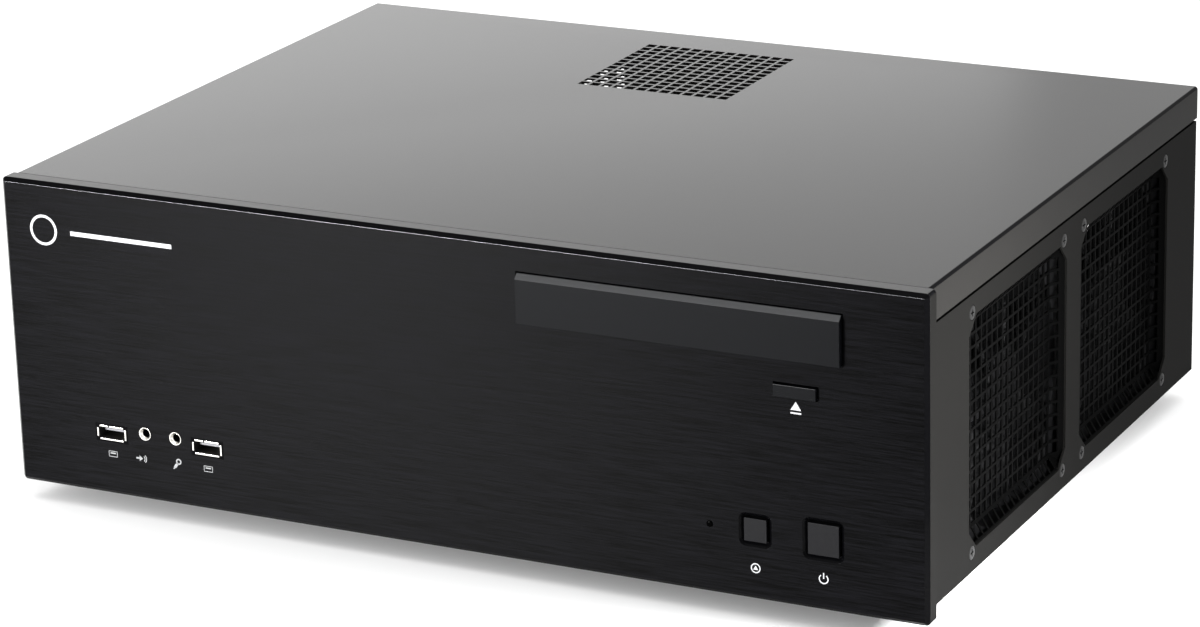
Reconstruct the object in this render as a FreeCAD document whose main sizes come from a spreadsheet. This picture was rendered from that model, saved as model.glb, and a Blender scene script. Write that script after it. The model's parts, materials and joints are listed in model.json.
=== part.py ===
"""A horizontal desktop computer case with its working parts, as a parametric document.

Frame: millimetres, +X to the right seen from the front, +Y to the back, +Z up. The origin lies on the
surface that the feet stand on, midway between the front face and the back edge of the top cover.
"""
import FreeCAD, Part
import os
import re
import Sketcher

Vector = FreeCAD.Vector
Rotation = FreeCAD.Rotation

# Driving dimensions. Places on the front panel are measured from its left edge and its bottom edge.
SIZES = {
    # case
    "front_width": 440, "front_height": 142, "front_thickness": 8.4, "front_lift": 9,
    "front_corner": 2, "front_bevel": 1.8, "body_depth": 330, "side_step": 2.5, "base_drop": 4.5,
    "steel": 1, "skirt_height": 15, "seam": 1.2, "cover_gap": 0.3, "cover_bend": 1.6, "flange": 12,
    "slide_gap": 0.3, "seat_gap": 0.1,
    # vents in the base, the rear wall and the cover
    "vent_slot": 4.5, "slot_step": 9, "slot_count": 13, "vent_edge": 6, "intake_length": 90,
    "intake_inset": 10, "intake_front": 8, "intake_count": 7,
    "vent_left": 167, "vent_front": 229.5, "vent_pitch": 6, "vent_hole": 4.6, "vent_count": 13,
    "supply_vent_gap": 8, "supply_vent_margin": 5, "ports_vent_gap": 12, "ports_vent_height": 45,
    # feet
    "foot_radius": 19, "foot_inset": 48, "foot_bore": 6.5, "foot_recess": 5, "pad_radius": 16,
    "pad_height": 2.5,
    # side fans and their grilles
    "fan_size": 120, "fan_depth": 25, "fan_bore": 57.5, "fan_screw_spacing": 105, "fan_screw_radius": 2,
    "fan_screw_bite": 10, "fan_front": 105.5, "fan_pitch": 129, "window_width": 112, "window_height": 102,
    "window_clip": 8, "dish_depth": 5, "dish_slope": 8, "dish_wall": 0.9, "mesh_pitch": 6, "mesh_hole": 4.8,
    "mesh_columns": 18, "mesh_rows": 17, "boss_radius": 3.8,
    "motor_plate": 3, "bearing_radius": 4, "bearing_setback": 7, "strut_width": 5, "rotor_gap": 2,
    "hub_radius": 20, "hub_wall": 2, "hub_overlap": 1, "shaft_radius": 1.5, "bearing_gap": 0.05,
    "blade_thickness": 1.6, "blade_room": 4, "blade_angle": 45, "side_blades": 7, "small_blades": 5,
    # optical drive
    "drive_side_gap": 4.25, "drive_cover_width": 146.5, "drive_cover_bottom": 107.3,
    "drive_cover_height": 21.7, "drive_cover_proud": 2.5, "drive_cover_thickness": 5, "window_gap": 0.6,
    "drive_width": 146, "drive_height": 41.3, "drive_length": 170, "drive_gap": 3.6,
    "tray_width": 128, "tray_height": 8, "tray_length": 158, "disc_radius": 60.5, "disc_recess": 1.6,
    "disc_inset": 12, "spindle_slot": 36, "spindle_margin": 6, "tray_side_gap": 0.6, "tray_room": 1.5,
    "tray_headroom": 5, "rail_width": 10, "rail_depth": 3, "eject_lug": 10, "eject_lug_height": 5,
    "eject_lug_reach": 0.6, "brace_width": 18, "brace_place": 142, "brace_gap": 0.7,
    # buttons
    "eject_inset": 11, "eject_width": 18.9, "eject_bottom": 91.2, "eject_height": 5.2,
    "eject_proud": 1.6, "eject_gap": 0.6, "reset_left": 358, "reset_bottom": 25.6, "reset_width": 10.2,
    "power_left": 386.7, "power_bottom": 24.1, "power_width": 13.9, "rim_chamfer": 1.9,
    "button_gap": 0.45, "button_corner": 1.4, "button_travel": 1.5, "front_wall": 3.2, "button_lip": 1.2,
    "button_flange": 1.5, "flange_gap": 0.9, "stem_reach": 1, "stem_radius": 2, "switch_gap": 0.3,
    "switch_height": 4, "switch_width": 6, "switch_body": 3, "plunger_radius": 1.75,
    "switch_board_left": 6, "switch_board_right": 12, "switch_board_half": 12, "post_rise": 8,
    "post_left": 8, "post_right": 12,
    # light and sockets on the front
    "led_left": 342.5, "led_rise": 30.6, "led_radius": 1.4, "led_foot": 5, "led_rim": 0.5,
    "usb_left": 42.4, "usb_right": 91.8, "usb_bottom": 25.6, "usb_width": 15, "usb_height": 6.8,
    "usb_mouth_width": 12.6, "usb_mouth_height": 5.1, "usb_length": 18, "usb_depth": 12.5,
    "tongue_width": 11.1, "tongue_height": 1.9, "tongue_length": 9, "tongue_drop": 0.6,
    "jack_left": 67.4, "jack_right": 83.1, "jack_rise": 31.2, "jack_radius": 3, "jack_bore": 1.8,
    "jack_depth": 14, "jack_block": 4, "socket_proud": 0.3, "socket_room": 2, "socket_board_depth": 20,
    "socket_board_margin": 4, "board_sheet": 1.6,
    # hard drive
    "disk_width": 101.6, "disk_length": 147, "disk_height": 26.1, "disk_side_gap": 4.6, "disk_front": 25,
    "disk_lift": 2.5, "disk_lid": 2, "disk_lid_side": 3, "disk_lid_front": 5, "disk_lid_rear": 12,
    "disk_tray_side": 16, "disk_tray_margin": 2,
    # main board
    "board_size": 244, "standoff_height": 6.35, "standoff_radius": 3, "standoff_inset": 10,
    "board_side_gap": 1.3, "cooler_right": 50, "cooler_rear": 95,
    "socket_height": 3, "socket_border": 5, "processor_lid": 2, "processor_size": 37.5,
    "sink_size": 90, "sink_base": 6, "sink_height": 32, "sink_fins": 15, "sink_fin": 1.2,
    "cooler_size": 80, "cooler_depth": 20, "small_bore": 38, "small_screw_spacing": 71.5,
    "small_hub": 14, "memory_length": 133.35, "memory_height": 31, "memory_pitch": 10, "memory_front": 30,
    "memory_right": 12, "memory_sheet": 1.4, "memory_lift": 4, "memory_socket": 6,
    "memory_socket_height": 9, "memory_socket_end": 3,
    "slot_pitch": 20.32, "slot_width": 18.4, "slot_height": 105, "slot_lift": 4, "slot_window": 14,
    "slot_inset": 8, "slot_screw_drop": 4, "slot_border": 4, "slot_head": 8, "card_socket_width": 7.6,
    "card_socket_height": 11, "card_socket_near": 58, "card_socket_far": 146, "chipset_size": 40,
    "chipset_left": 26, "chipset_front": 38, "chipset_base": 4, "chipset_height": 14, "chipset_fin": 2.2,
    "chipset_fins": 8, "can_radius": 4, "can_height": 12, "can_pitch": 12, "can_count": 8,
    "port_width": 158.75, "port_height": 44.45, "port_drop": 1.6, "port_inset": 4, "port_wall": 0.9,
    "port_depth": 11, "port_length": 16, "port_proud": 0.6, "rear_jack_block": 5,
    # power supply
    "supply_width": 150, "supply_height": 86, "supply_length": 140, "supply_gap": 3, "supply_slot_gap": 3.5,
    "supply_border": 5, "supply_fan_inset": 4, "supply_slot": 3.5, "supply_slot_step": 7,
    "supply_slot_rise": 12, "supply_slot_left": 20, "supply_slot_right": 50, "supply_slots": 9,
    "inlet_left": 26, "inlet_rise": 24, "inlet_width": 27, "inlet_height": 20, "inlet_mouth_width": 24,
    "inlet_mouth_height": 16.4, "inlet_depth": 16, "inlet_length": 22, "inlet_rim": 1.6,
    "inlet_lip": 2, "inlet_margin": 3, "pin_length": 11, "pin_spacing": 7, "pin_shift": 2, "pin_half": 1,
    "rocker_rise": 54, "rocker_width": 13, "rocker_height": 19, "rocker_angle": 9, "rocker_crown": 2.2,
    "rocker_valley": 1, "rocker_edge": 1, "rocker_foot": 4, "rocker_well": 10, "pivot_radius": 1,
    "pivot_depth": 2.4, "pivot_reach": 1.5,
    "guard_ring": 9, "guard_rings": 4, "wire_radius": 0.9,
    # rear fasteners
    "thumb_radius": 4.5, "thumb_length": 4, "thumb_drop": 8, "thumb_spacing": 180, "thumb_bite": 3,
    "screw_radius": 2, "screw_head": 3.2, "screw_head_height": 1.6,
}

# Places worked out from the sizes, each as an expression in sizes and in places above it.
PLACES = {
    "front_face": "-body_depth/2",
    "front_back": "front_face + front_thickness",
    "frame_back": "front_back + steel",
    "rear_edge": "body_depth/2",
    "rear_face": "rear_edge - steel",
    "rear_inner": "rear_face - steel",
    "left_edge": "-front_width/2",
    "body_side": "front_width/2 - side_step",
    "side_inner": "body_side - steel",
    "web_outer": "body_side - steel - cover_gap",
    "web_inner": "web_outer - steel",
    "base_bottom": "front_lift + base_drop",
    "base_top": "base_bottom + steel",
    "top": "front_lift + front_height",
    "cover_under": "top - steel",
    "skirt_bottom": "top - skirt_height",
    "side_top": "skirt_bottom - seam",
    "fan_axis_z": "base_top + fan_size/2",
    "front_fan_y": "front_face + fan_front",
    "rear_fan_y": "front_face + fan_front + fan_pitch",
    "fan_outer": "side_inner - dish_depth",
    "dish_start": "dish_slope*dish_wall/dish_depth",
    "rim_half": "side_top - steel - slide_gap - fan_axis_z",
    "vent_x": "left_edge + vent_left + (vent_pitch - vent_hole)/2",
    "vent_y": "front_face + vent_front + (vent_pitch - vent_hole)/2",
    "thumb_z": "skirt_bottom + thumb_drop",
    "fan_inner": "fan_outer - fan_depth",
    "drive_right": "fan_inner - drive_side_gap",
    "drive_left": "drive_right - drive_width",
    "drive_middle": "drive_right - drive_width/2",
    "cover_left": "drive_middle - drive_cover_width/2",
    "cover_right": "drive_middle + drive_cover_width/2",
    "cover_bottom": "front_lift + drive_cover_bottom",
    "cover_top": "cover_bottom + drive_cover_height",
    "cover_back": "front_face - drive_cover_proud + drive_cover_thickness",
    "drive_face": "frame_back + drive_gap",
    "drive_end": "drive_face + drive_length",
    "drive_bottom": "cover_top - drive_height",
    "drive_top": "cover_top",
    "tray_bottom": "cover_bottom + (drive_cover_height - tray_height)/2",
    "tray_top": "tray_bottom + tray_height",
    "tray_end": "cover_back + tray_length",
    "rail_top": "tray_bottom - slide_gap",
    "brace_front": "front_face + brace_place",
    "brace_back": "brace_front + brace_width",
    "brace_bottom": "drive_top + brace_gap",
    "flange_room": "button_lip + flange_gap",
    "stem_end": "frame_back + stem_reach",
    "switch_face": "stem_end + button_travel + switch_gap",
    "switch_base": "switch_face + switch_height",
    "switch_back": "switch_base + board_sheet",
    "power_middle_x": "left_edge + power_left + power_width/2",
    "power_middle_z": "front_lift + power_bottom + power_width/2",
    "reset_middle_x": "left_edge + reset_left + reset_width/2",
    "reset_middle_z": "front_lift + reset_bottom + reset_width/2",
    "eject_middle_x": "cover_right - eject_inset - eject_width/2",
    "eject_middle_z": "front_lift + eject_bottom + eject_height/2",
    "led_x": "left_edge + led_left",
    "led_z": "front_lift + led_rise",
    "usb_floor": "front_lift + usb_bottom",
    "usb_roof": "usb_floor + usb_height",
    "socket_face": "front_face - socket_proud",
    "socket_end": "socket_face + usb_length",
    "usb_mouth_z": "usb_floor + usb_height/2",
    "jack_z": "front_lift + jack_rise",
    "board_right": "fan_inner - board_side_gap",
    "board_left": "board_right - board_size",
    "disk_x": "board_left - disk_side_gap - disk_width",
    "disk_y": "front_back + disk_front",
    "disk_z": "base_top + steel + disk_lift",
    "board_rear": "rear_inner - steel",
    "board_front": "board_rear - board_size",
    "board_bottom": "base_top + standoff_height",
    "board_top": "board_bottom + board_sheet",
    "processor_x": "board_left + board_size/2 + cooler_right",
    "processor_y": "board_rear - cooler_rear",
    "processor_top": "board_top + socket_height + processor_lid",
    "sink_top": "processor_top + sink_height",
    "memory_left": "board_right - memory_length - memory_right",
    "first_slot": "board_left + slot_inset",
    "slot_screw_z": "base_top + slot_height - slot_screw_drop",
    "ports_right": "board_right - port_inset",
    "ports_left": "ports_right - port_width",
    "ports_bottom": "board_bottom - port_drop",
    "ports_top": "ports_bottom + port_height",
    "port_face": "rear_face + port_proud",
    "port_front": "port_face - port_length",
    "supply_room": "first_slot - slot_width/2 + side_inner - supply_width",
    "supply_left": "-side_inner + supply_room*supply_gap/(supply_gap + supply_slot_gap)",
    "supply_right": "supply_left + supply_width",
    "supply_front": "rear_inner - supply_length",
    "supply_top": "base_top + supply_height",
    "supply_fan_x": "supply_right - cooler_size/2 - supply_fan_inset",
    "supply_fan_z": "base_top + supply_height/2",
    "inlet_x": "supply_left + inlet_left",
    "inlet_z": "base_top + inlet_rise",
    "rocker_z": "base_top + rocker_rise",
    "supply_fan_y": "rear_inner - steel - cooler_depth",
    "inlet_face": "rear_inner + inlet_rim",
    "inlet_bottom": "inlet_z - inlet_height/2",
    "inlet_top": "rocker_z + rocker_height/2 + inlet_margin",
    "pivot_y": "inlet_face - pivot_depth",
}

doc = FreeCAD.newDocument("desktop_computer")
sheet = doc.addObject("Spreadsheet::Sheet", "dims")
for row, (name, size) in enumerate(SIZES.items(), start=1):
    sheet.set(f"A{row}", name)
    sheet.set(f"B{row}", str(size))
    sheet.setAlias(f"B{row}", name)
doc.recompute()

NODES = []


def bound(text):
    """The text as an expression for the sheet, with every place written out in sizes."""
    def swap(match):
        word = match.group()
        if word in SIZES:
            return "dims." + word
        if word in PLACES:
            return "(" + bound(PLACES[word]) + ")"
        return word
    return re.sub(r"[a-z][a-z_]*", swap, str(text))


def value(text):
    """What an expression comes to now, as a plain number."""
    return float(sheet.evalExpression(bound(text)))


def node(label, piece):
    """Name a finished sub-part and list it for export."""
    piece.Label = label
    NODES.append(piece)
    return piece


def new(kind, name, **links):
    """A document object with its links set."""
    made = doc.addObject(kind, name)
    for key, target in links.items():
        setattr(made, key, target)
    return made


# Part primitives and booleans. A cutting piece runs 1 mm past the faces that it opens.

def tie(piece, **expressions):
    """Bind properties of an object to the sheet; x, y and z stand for its place."""
    for key, text in expressions.items():
        path = f"Placement.Base.{key}" if key in "xyz" else key
        piece.setExpression(path, bound(text))
    return piece


def box(x, y, z):
    """A box between pairs of planes."""
    piece = new("Part::Box", "box")
    spans = {"Length": x, "Width": y, "Height": z}
    tie(piece, **{side: f"({high}) - ({low})" for side, (low, high) in spans.items()})
    return tie(piece, x=x[0], y=y[0], z=z[0])


AIM = {"x": Rotation(Vector(0, 1, 0), 90), "y": Rotation(Vector(1, 0, 0), -90), "z": Rotation()}


def rod(axis, centre, span, radius, far_radius=None):
    """A round bar along an axis, or a cone when far_radius is given; centre holds the other two places."""
    if far_radius is None:
        piece = tie(new("Part::Cylinder", "rod"), Radius=radius)
    else:
        piece = tie(new("Part::Cone", "cone"), Radius1=radius, Radius2=far_radius)
    piece.Placement = FreeCAD.Placement(Vector(), AIM[axis])
    tie(piece, Height=f"({span[1]}) - ({span[0]})")
    where = dict(zip([name for name in "xyz" if name != axis], centre))
    where[axis] = span[0]
    return tie(piece, **where)


def fuse(*pieces):
    return new("Part::MultiFuse", "fuse", Shapes=list(pieces))


def group(*pieces):
    """Separate solids kept as one object."""
    return new("Part::Compound", "group", Links=list(pieces))


def cut(base, *tools):
    tool = tools[0] if len(tools) == 1 else fuse(*tools)
    return new("Part::Cut", "cut", Base=base, Tool=tool)


def around(x, y, z, grow_x="0", grow_y="0", grow_z="0"):
    """A box given by its middle and its half sizes."""
    return box(*[(f"({middle}) - ({half})", f"({middle}) + ({half})")
                 for middle, half in ((x, grow_x), (y, grow_y), (z, grow_z))])


# PartDesign bodies

LIFT = {"XY_Plane": "", "XZ_Plane": "-", "YZ_Plane": ""}


def origin_feature(body, role):
    return next(item for item in body.Origin.OriginFeatures if item.Role == role)


def sketch(body, role, level, outlines=(), circles=()):
    """A sketch on a plane of the body's origin, lifted to a level, with every point bound to the sheet."""
    made = body.newObject("Sketcher::SketchObject", "sketch")
    made.AttachmentSupport = [(origin_feature(body, role), "")]
    made.MapMode = "FlatFace"
    made.setExpression("AttachmentOffset.Base.z", bound(f"{LIFT[role]}({level})"))
    for points in outlines:
        first = made.GeometryCount
        spots = [Vector(value(across), value(along), 0) for across, along in points]
        count = len(spots)
        sides = [Part.LineSegment(spots[i], spots[(i + 1) % count]) for i in range(count)]
        made.addGeometry(sides, False)
        made.addConstraint([Sketcher.Constraint("Coincident", first + i, 2, first + (i + 1) % count, 1)
                            for i in range(count)])
        for i, (across, along) in enumerate(points):
            pin(made, first + i, 1, spots[i], across, along)
    for across, along, radius in circles:
        spot = Vector(value(across), value(along), 0)
        index = made.addGeometry(Part.Circle(spot, Vector(0, 0, 1), value(radius)), False)
        pin(made, index, 3, spot, across, along)
        size = made.addConstraint(Sketcher.Constraint("Radius", index, value(radius)))
        made.setExpression(f"Constraints[{size}]", bound(radius))
    return made


def pin(made, index, end, spot, across, along):
    """Hold a point of a sketch at two bound distances from the sketch's origin."""
    for kind, text, distance in (("DistanceX", across, spot.x), ("DistanceY", along, spot.y)):
        number = made.addConstraint(Sketcher.Constraint(kind, -1, 1, index, end, distance))
        made.setExpression(f"Constraints[{number}]", bound(text))


def rectangle(across, along):
    return [(across[0], along[0]), (across[1], along[0]), (across[1], along[1]), (across[0], along[1])]


def grown(across, along, gap):
    """A rectangle with a gap added all round."""
    return rectangle((f"{across[0]} - {gap}", f"{across[1]} + {gap}"),
                     (f"{along[0]} - {gap}", f"{along[1]} + {gap}"))


def pad(body, role, span, outlines, circles=()):
    """Material between two planes parallel to an origin plane."""
    profile = sketch(body, role, span[0], outlines, circles)
    made = body.newObject("PartDesign::Pad", "pad")
    made.Profile = profile
    made.setExpression("Length", bound(f"({span[1]}) - ({span[0]})"))
    made.Reversed = role == "XZ_Plane"
    return made


def pocket(body, role, span, outlines=(), circles=()):
    """A pocket between two planes; it must take material away."""
    doc.recompute()
    before = body.Shape.Volume
    profile = sketch(body, role, span[0], outlines, circles)
    made = body.newObject("PartDesign::Pocket", "pocket")
    made.Profile = profile
    made.setExpression("Length", bound(f"({span[1]}) - ({span[0]})"))
    made.Reversed = role != "XZ_Plane"
    doc.recompute()
    if body.Shape.Volume >= before:
        raise ValueError(f"{body.Label}: a pocket cut nothing")
    return made


def dress(body, kind, size, chosen):
    """A Fillet or Chamfer on the edges that the test chooses."""
    doc.recompute()
    names = [f"Edge{i}" for i, edge in enumerate(body.Shape.Edges, start=1) if chosen(edge)]
    base = body.Tip
    made = body.newObject(f"PartDesign::{kind}", kind.lower())
    made.Base = (base, names)
    made.setExpression("Radius" if kind == "Fillet" else "Size", bound(size))
    return made


def runs(edge, axis):
    """Whether an edge is straight and parallel to an axis."""
    if edge.Curve.TypeId != "Part::GeomLine":
        return False
    return abs(getattr(edge.tangentAt(edge.FirstParameter), axis)) > 0.999


def repeat(body, hole, directions):
    """Repeat a pocket in rows; each direction holds an origin axis, a pitch and a count."""
    pattern = body.newObject("PartDesign::MultiTransform", "pattern")
    pattern.Originals = [hole]
    steps = []
    for role, pitch, count in directions:
        step = doc.addObject("PartDesign::LinearPattern", "step")
        body.addObject(step)
        step.Direction = (origin_feature(body, role), [""])
        step.setExpression("Length", bound(f"{pitch}*({count} - 1)"))
        step.setExpression("Occurrences", bound(count))
        steps.append(step)
    pattern.Transformations = steps
    body.Tip = pattern


def new_body(name):
    return doc.addObject("PartDesign::Body", name)


def copy_of(piece):
    """The same shape again, with a placement of its own."""
    return new("Part::Compound", "copy", Links=[piece])


def turned(piece, rotation, x="0", y="0", z="0"):
    """A copy turned about its origin and then moved."""
    made = copy_of(piece)
    made.Placement = FreeCAD.Placement(Vector(), rotation)
    return tie(made, x=x, y=y, z=z)


def corners(across, along, half_across, half_along=None):
    """The four points at equal distances from a middle."""
    half_along = half_along or half_across
    return [(f"{across} {s} {half_across}", f"{along} {t} {half_along}") for s in "-+" for t in "-+"]


# Case

BUTTONS = {
    "power_button": ("power_middle_x", "power_middle_z", "power_width", "power_width", "0", "button_gap"),
    "reset_button": ("reset_middle_x", "reset_middle_z", "reset_width", "reset_width", "0", "button_gap"),
    "eject_button": ("eject_middle_x", "eject_middle_z", "eject_width", "eject_height", "eject_proud",
                     "eject_gap"),
}
CLOSE = 0.01    # how near two places are taken as one when edges are chosen
USB_PLACES = ("left_edge + usb_left", "left_edge + usb_right")
JACK_PLACES = ("left_edge + jack_left", "left_edge + jack_right")


def button_hole(middle_x, middle_z, width, height, gap):
    return rectangle((f"{middle_x} - {width}/2 - {gap}", f"{middle_x} + {width}/2 + {gap}"),
                     (f"{middle_z} - {height}/2 - {gap}", f"{middle_z} + {height}/2 + {gap}"))


def front_panel():
    body = new_body("front_plate")
    openings = [button_hole(x, z, width, height, gap) for x, z, width, height, _, gap in BUTTONS.values()]
    openings.append(grown(("cover_left", "cover_right"), ("cover_bottom", "cover_top"), "window_gap"))
    openings += [grown((x, f"{x} + usb_width"), ("usb_floor", "usb_roof"), "slide_gap") for x in USB_PLACES]
    rounds = [("led_x", "led_z", "led_radius + seat_gap")]
    rounds += [(x, "jack_z", "jack_radius + seat_gap") for x in JACK_PLACES]
    plate = rectangle(("left_edge", "-left_edge"), ("front_lift", "top"))
    pad(body, "XZ_Plane", ("front_face", "front_back"), [plate] + openings, rounds)
    wells = [button_hole(x, z, width, height, "flange_room")
             for x, z, width, height, _, _ in BUTTONS.values()]
    pocket(body, "XZ_Plane", ("front_face + front_wall", "front_back"), wells)
    dress(body, "Fillet", "front_corner",
          lambda edge: runs(edge, "y") and abs(edge.BoundBox.Center.x) > value("front_width/2") - CLOSE)
    dress(body, "Fillet", "button_corner",
          lambda edge: runs(edge, "y") and near_button(edge) and touches_front(edge))
    dress(body, "Chamfer", "rim_chamfer", lambda edge: in_front(edge) and near_button(edge))
    dress(body, "Chamfer", "front_bevel", lambda edge: in_front(edge) and on_border(edge.BoundBox.Center))
    return body


def near_button(edge):
    """Whether an edge belongs to the hole of one of the two square buttons."""
    reach = value("power_width/2 + button_gap") + CLOSE
    middle = edge.BoundBox.Center
    return any(abs(middle.x - value(x)) < reach and abs(middle.z - value(z)) < reach
               for x, z in (BUTTONS["power_button"][:2], BUTTONS["reset_button"][:2]))


def touches_front(edge):
    return edge.BoundBox.YMin < value("front_face") + CLOSE


def in_front(edge):
    return edge.BoundBox.YMax < value("front_face") + CLOSE


def on_border(spot):
    """Whether a point lies at the outline of the front panel."""
    reach = value("front_corner")
    across = value("front_width/2") - abs(spot.x)
    along = min(spot.z - value("front_lift"), value("top") - spot.z)
    return min(across, along) < reach


def wall_outline():
    """The outline shared by the two cross walls: full width below the joggle of the sides, less above."""
    return [("-side_inner", "base_top"), ("side_inner", "base_top"), ("side_inner", "side_top - steel"),
            ("web_inner", "side_top - steel"), ("web_inner", "cover_under - steel"),
            ("-web_inner", "cover_under - steel"), ("-web_inner", "side_top - steel"),
            ("-side_inner", "side_top - steel")]


def top_flange(body, span):
    edge = "web_outer - flange - cover_gap"
    pad(body, "XY_Plane", ("cover_under - steel", "cover_under"), [rectangle((f"-({edge})", edge), span)])


def front_subframe():
    body = new_body("subframe")
    tray = grown(("drive_middle - tray_width/2", "drive_middle + tray_width/2"), ("tray_bottom", "tray_top"),
                 "tray_room")
    sockets = grown(("left_edge + usb_left", "left_edge + usb_right + usb_width"), ("usb_floor", "usb_roof"),
                    "socket_room")
    stems = [(x, z, "stem_radius + window_gap") for x, z, *_ in BUTTONS.values()]
    light = [("led_x", "led_z", "led_radius + window_gap")]
    pad(body, "XZ_Plane", ("front_back", "frame_back"), [wall_outline(), tray, sockets], stems + light)
    top_flange(body, ("front_back", "front_back + flange"))
    return body


def base_pan():
    body = new_body("base")
    holes = [(x, y, "screw_radius + seat_gap") for x, y in foot_places()]
    plate = rectangle(("-side_inner", "side_inner"), ("front_back", "rear_face"))
    pad(body, "XY_Plane", ("base_bottom", "base_top"), [plate], holes)
    slot = rectangle(("drive_left + intake_inset", "drive_left + intake_inset + intake_length"),
                     ("frame_back + intake_front", "frame_back + intake_front + vent_slot"))
    first = pocket(body, "XY_Plane", ("base_bottom", "base_top"), [slot])
    repeat(body, first, [("Y_Axis", "slot_step", "intake_count")])
    return body


def fan_window(middle_y):
    """A fan's opening in a side panel, with its corners cut off to leave room for the screws."""
    wide, tall, clip = "window_width/2", "window_height/2", "window_clip"
    points = []
    for s, t, order in (("-", "-", 0), ("+", "-", 1), ("+", "+", 0), ("-", "+", 1)):
        on_side = (f"{middle_y} {s} {wide}", f"fan_axis_z {t} ({tall} - {clip})")
        on_end = (f"{middle_y} {s} ({wide} - {clip})", f"fan_axis_z {t} {tall}")
        points += [on_end, on_side] if order else [on_side, on_end]
    return points


def side_panel(name, sign, fans):
    """A side wall: the outer sheet, a joggle behind the cover's skirt, and a flange under the cover."""
    profile = [("side_inner", "base_bottom"), ("body_side", "base_bottom"), ("body_side", "side_top"),
               ("web_outer", "side_top"), ("web_outer", "cover_under"), ("web_outer - flange", "cover_under"),
               ("web_outer - flange", "cover_under - steel"), ("web_inner", "cover_under - steel"),
               ("web_inner", "side_top - steel"), ("side_inner", "side_top - steel")]
    body = new_body(name)
    pad(body, "XZ_Plane", ("front_back", "rear_face"), [[(f"{sign}({x})", z) for x, z in profile]])
    span = ("side_inner", "body_side") if sign == "+" else ("-body_side", "-side_inner")
    holes = [(y, z, "screw_head + seat_gap") for middle in fans
             for y, z in corners(middle, "fan_axis_z", "fan_screw_spacing/2")]
    pocket(body, "YZ_Plane", span, [fan_window(middle) for middle in fans], holes)
    return body


def rear_panel():
    body = new_body("rear_wall")
    supply = rectangle(("supply_left + supply_border", "supply_right - supply_border"),
                       ("base_top + supply_border", "supply_top - supply_border"))
    ports = rectangle(("ports_left", "ports_right"), ("ports_bottom", "ports_top"))
    slots = [rectangle((f"{x} - slot_window/2", f"{x} + slot_window/2"),
                       ("base_top + slot_lift + slot_border", "base_top + slot_height - slot_head"))
             for x in slot_places()]
    screws = [(x, "slot_screw_z", "screw_radius + seat_gap") for x in slot_places()]
    pad(body, "XZ_Plane", ("rear_inner", "rear_face"), [wall_outline(), supply, ports] + slots,
        screws + thumb_holes())
    top_flange(body, ("rear_face - flange", "rear_face"))
    over_supply = ("supply_left + vent_edge", "supply_top + supply_vent_gap",
                   "skirt_bottom - supply_vent_margin", "slot_count + 2")
    over_ports = ("ports_left + vent_edge", "ports_top + ports_vent_gap",
                  "ports_top + ports_vent_gap + ports_vent_height", "slot_count + 4")
    for left, low, high, count in (over_supply, over_ports):
        slot = rectangle((left, f"{left} + vent_slot"), (low, high))
        first = pocket(body, "XZ_Plane", ("rear_inner", "rear_face"), [slot])
        repeat(body, first, [("X_Axis", "slot_step", count)])
    return body


def thumb_holes():
    return [(x, "thumb_z", "screw_radius + seat_gap") for x in thumb_places()]


def thumb_places():
    return ("thumb_spacing", "0", "-thumb_spacing")


def top_cover():
    body = new_body("cover")
    shell = [("-body_side", "skirt_bottom"), ("-side_inner", "skirt_bottom"), ("-side_inner", "cover_under"),
             ("side_inner", "cover_under"), ("side_inner", "skirt_bottom"), ("body_side", "skirt_bottom"),
             ("body_side", "top"), ("-body_side", "top")]
    pad(body, "XZ_Plane", ("front_back + cover_gap", "rear_edge"), [shell])
    back = rectangle(("-side_inner", "side_inner"), ("skirt_bottom", "cover_under"))
    pad(body, "XZ_Plane", ("rear_face", "rear_edge"), [back])
    pocket(body, "XZ_Plane", ("rear_face", "rear_edge"), [], thumb_holes())
    dress(body, "Fillet", "cover_bend",
          lambda edge: runs(edge, "y") and edge.BoundBox.ZMin > value("top") - CLOSE)
    first = rectangle(("vent_x", "vent_x + vent_hole"), ("vent_y", "vent_y + vent_hole"))
    hole = pocket(body, "XY_Plane", ("cover_under", "top"), [first])
    repeat(body, hole, [("X_Axis", "vent_pitch", "vent_count"), ("Y_Axis", "vent_pitch", "vent_count")])
    return body


# Feet

def foot_places():
    half_width, half_depth = "body_side - foot_inset", "body_depth/2 - foot_inset"
    return [(f"{s}({half_width})", f"{t}({half_depth})") for s in "-+" for t in "-+"]


def feet():
    """Turned feet, each with a groove at its waist and a recess for its screw."""
    made = []
    for x, y in foot_places():
        upper = rod("z", (x, y), ("pad_height", "base_bottom"), "foot_radius")
        recess = rod("z", (x, y), ("pad_height - 1", "pad_height + foot_recess"), "foot_bore")
        hole = rod("z", (x, y), ("pad_height", "base_bottom + 1"), "screw_radius + seat_gap")
        made.append(cut(upper, recess, hole))
    return group(*made)


def foot_pads():
    return group(*[cut(rod("z", (x, y), ("0", "pad_height"), "pad_radius"),
                       rod("z", (x, y), ("-1", "pad_height + 1"), "foot_bore")) for x, y in foot_places()])


def screw(axis, centre, seat, tip, head_end, shank="screw_radius", head="screw_head"):
    """A screw: its head from head_end to its seat and its shank from there to its tip."""
    low, high = (seat, head_end) if value(head_end) > value(seat) else (head_end, seat)
    start, end = (seat, tip) if value(tip) > value(seat) else (tip, seat)
    return fuse(rod(axis, centre, (low, high), head), rod(axis, centre, (start, end), shank))


def foot_screws():
    return group(*[screw("z", place, "pad_height + foot_recess", "base_top",
                         "pad_height + foot_recess - screw_head_height") for place in foot_places()])


# Fans

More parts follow.
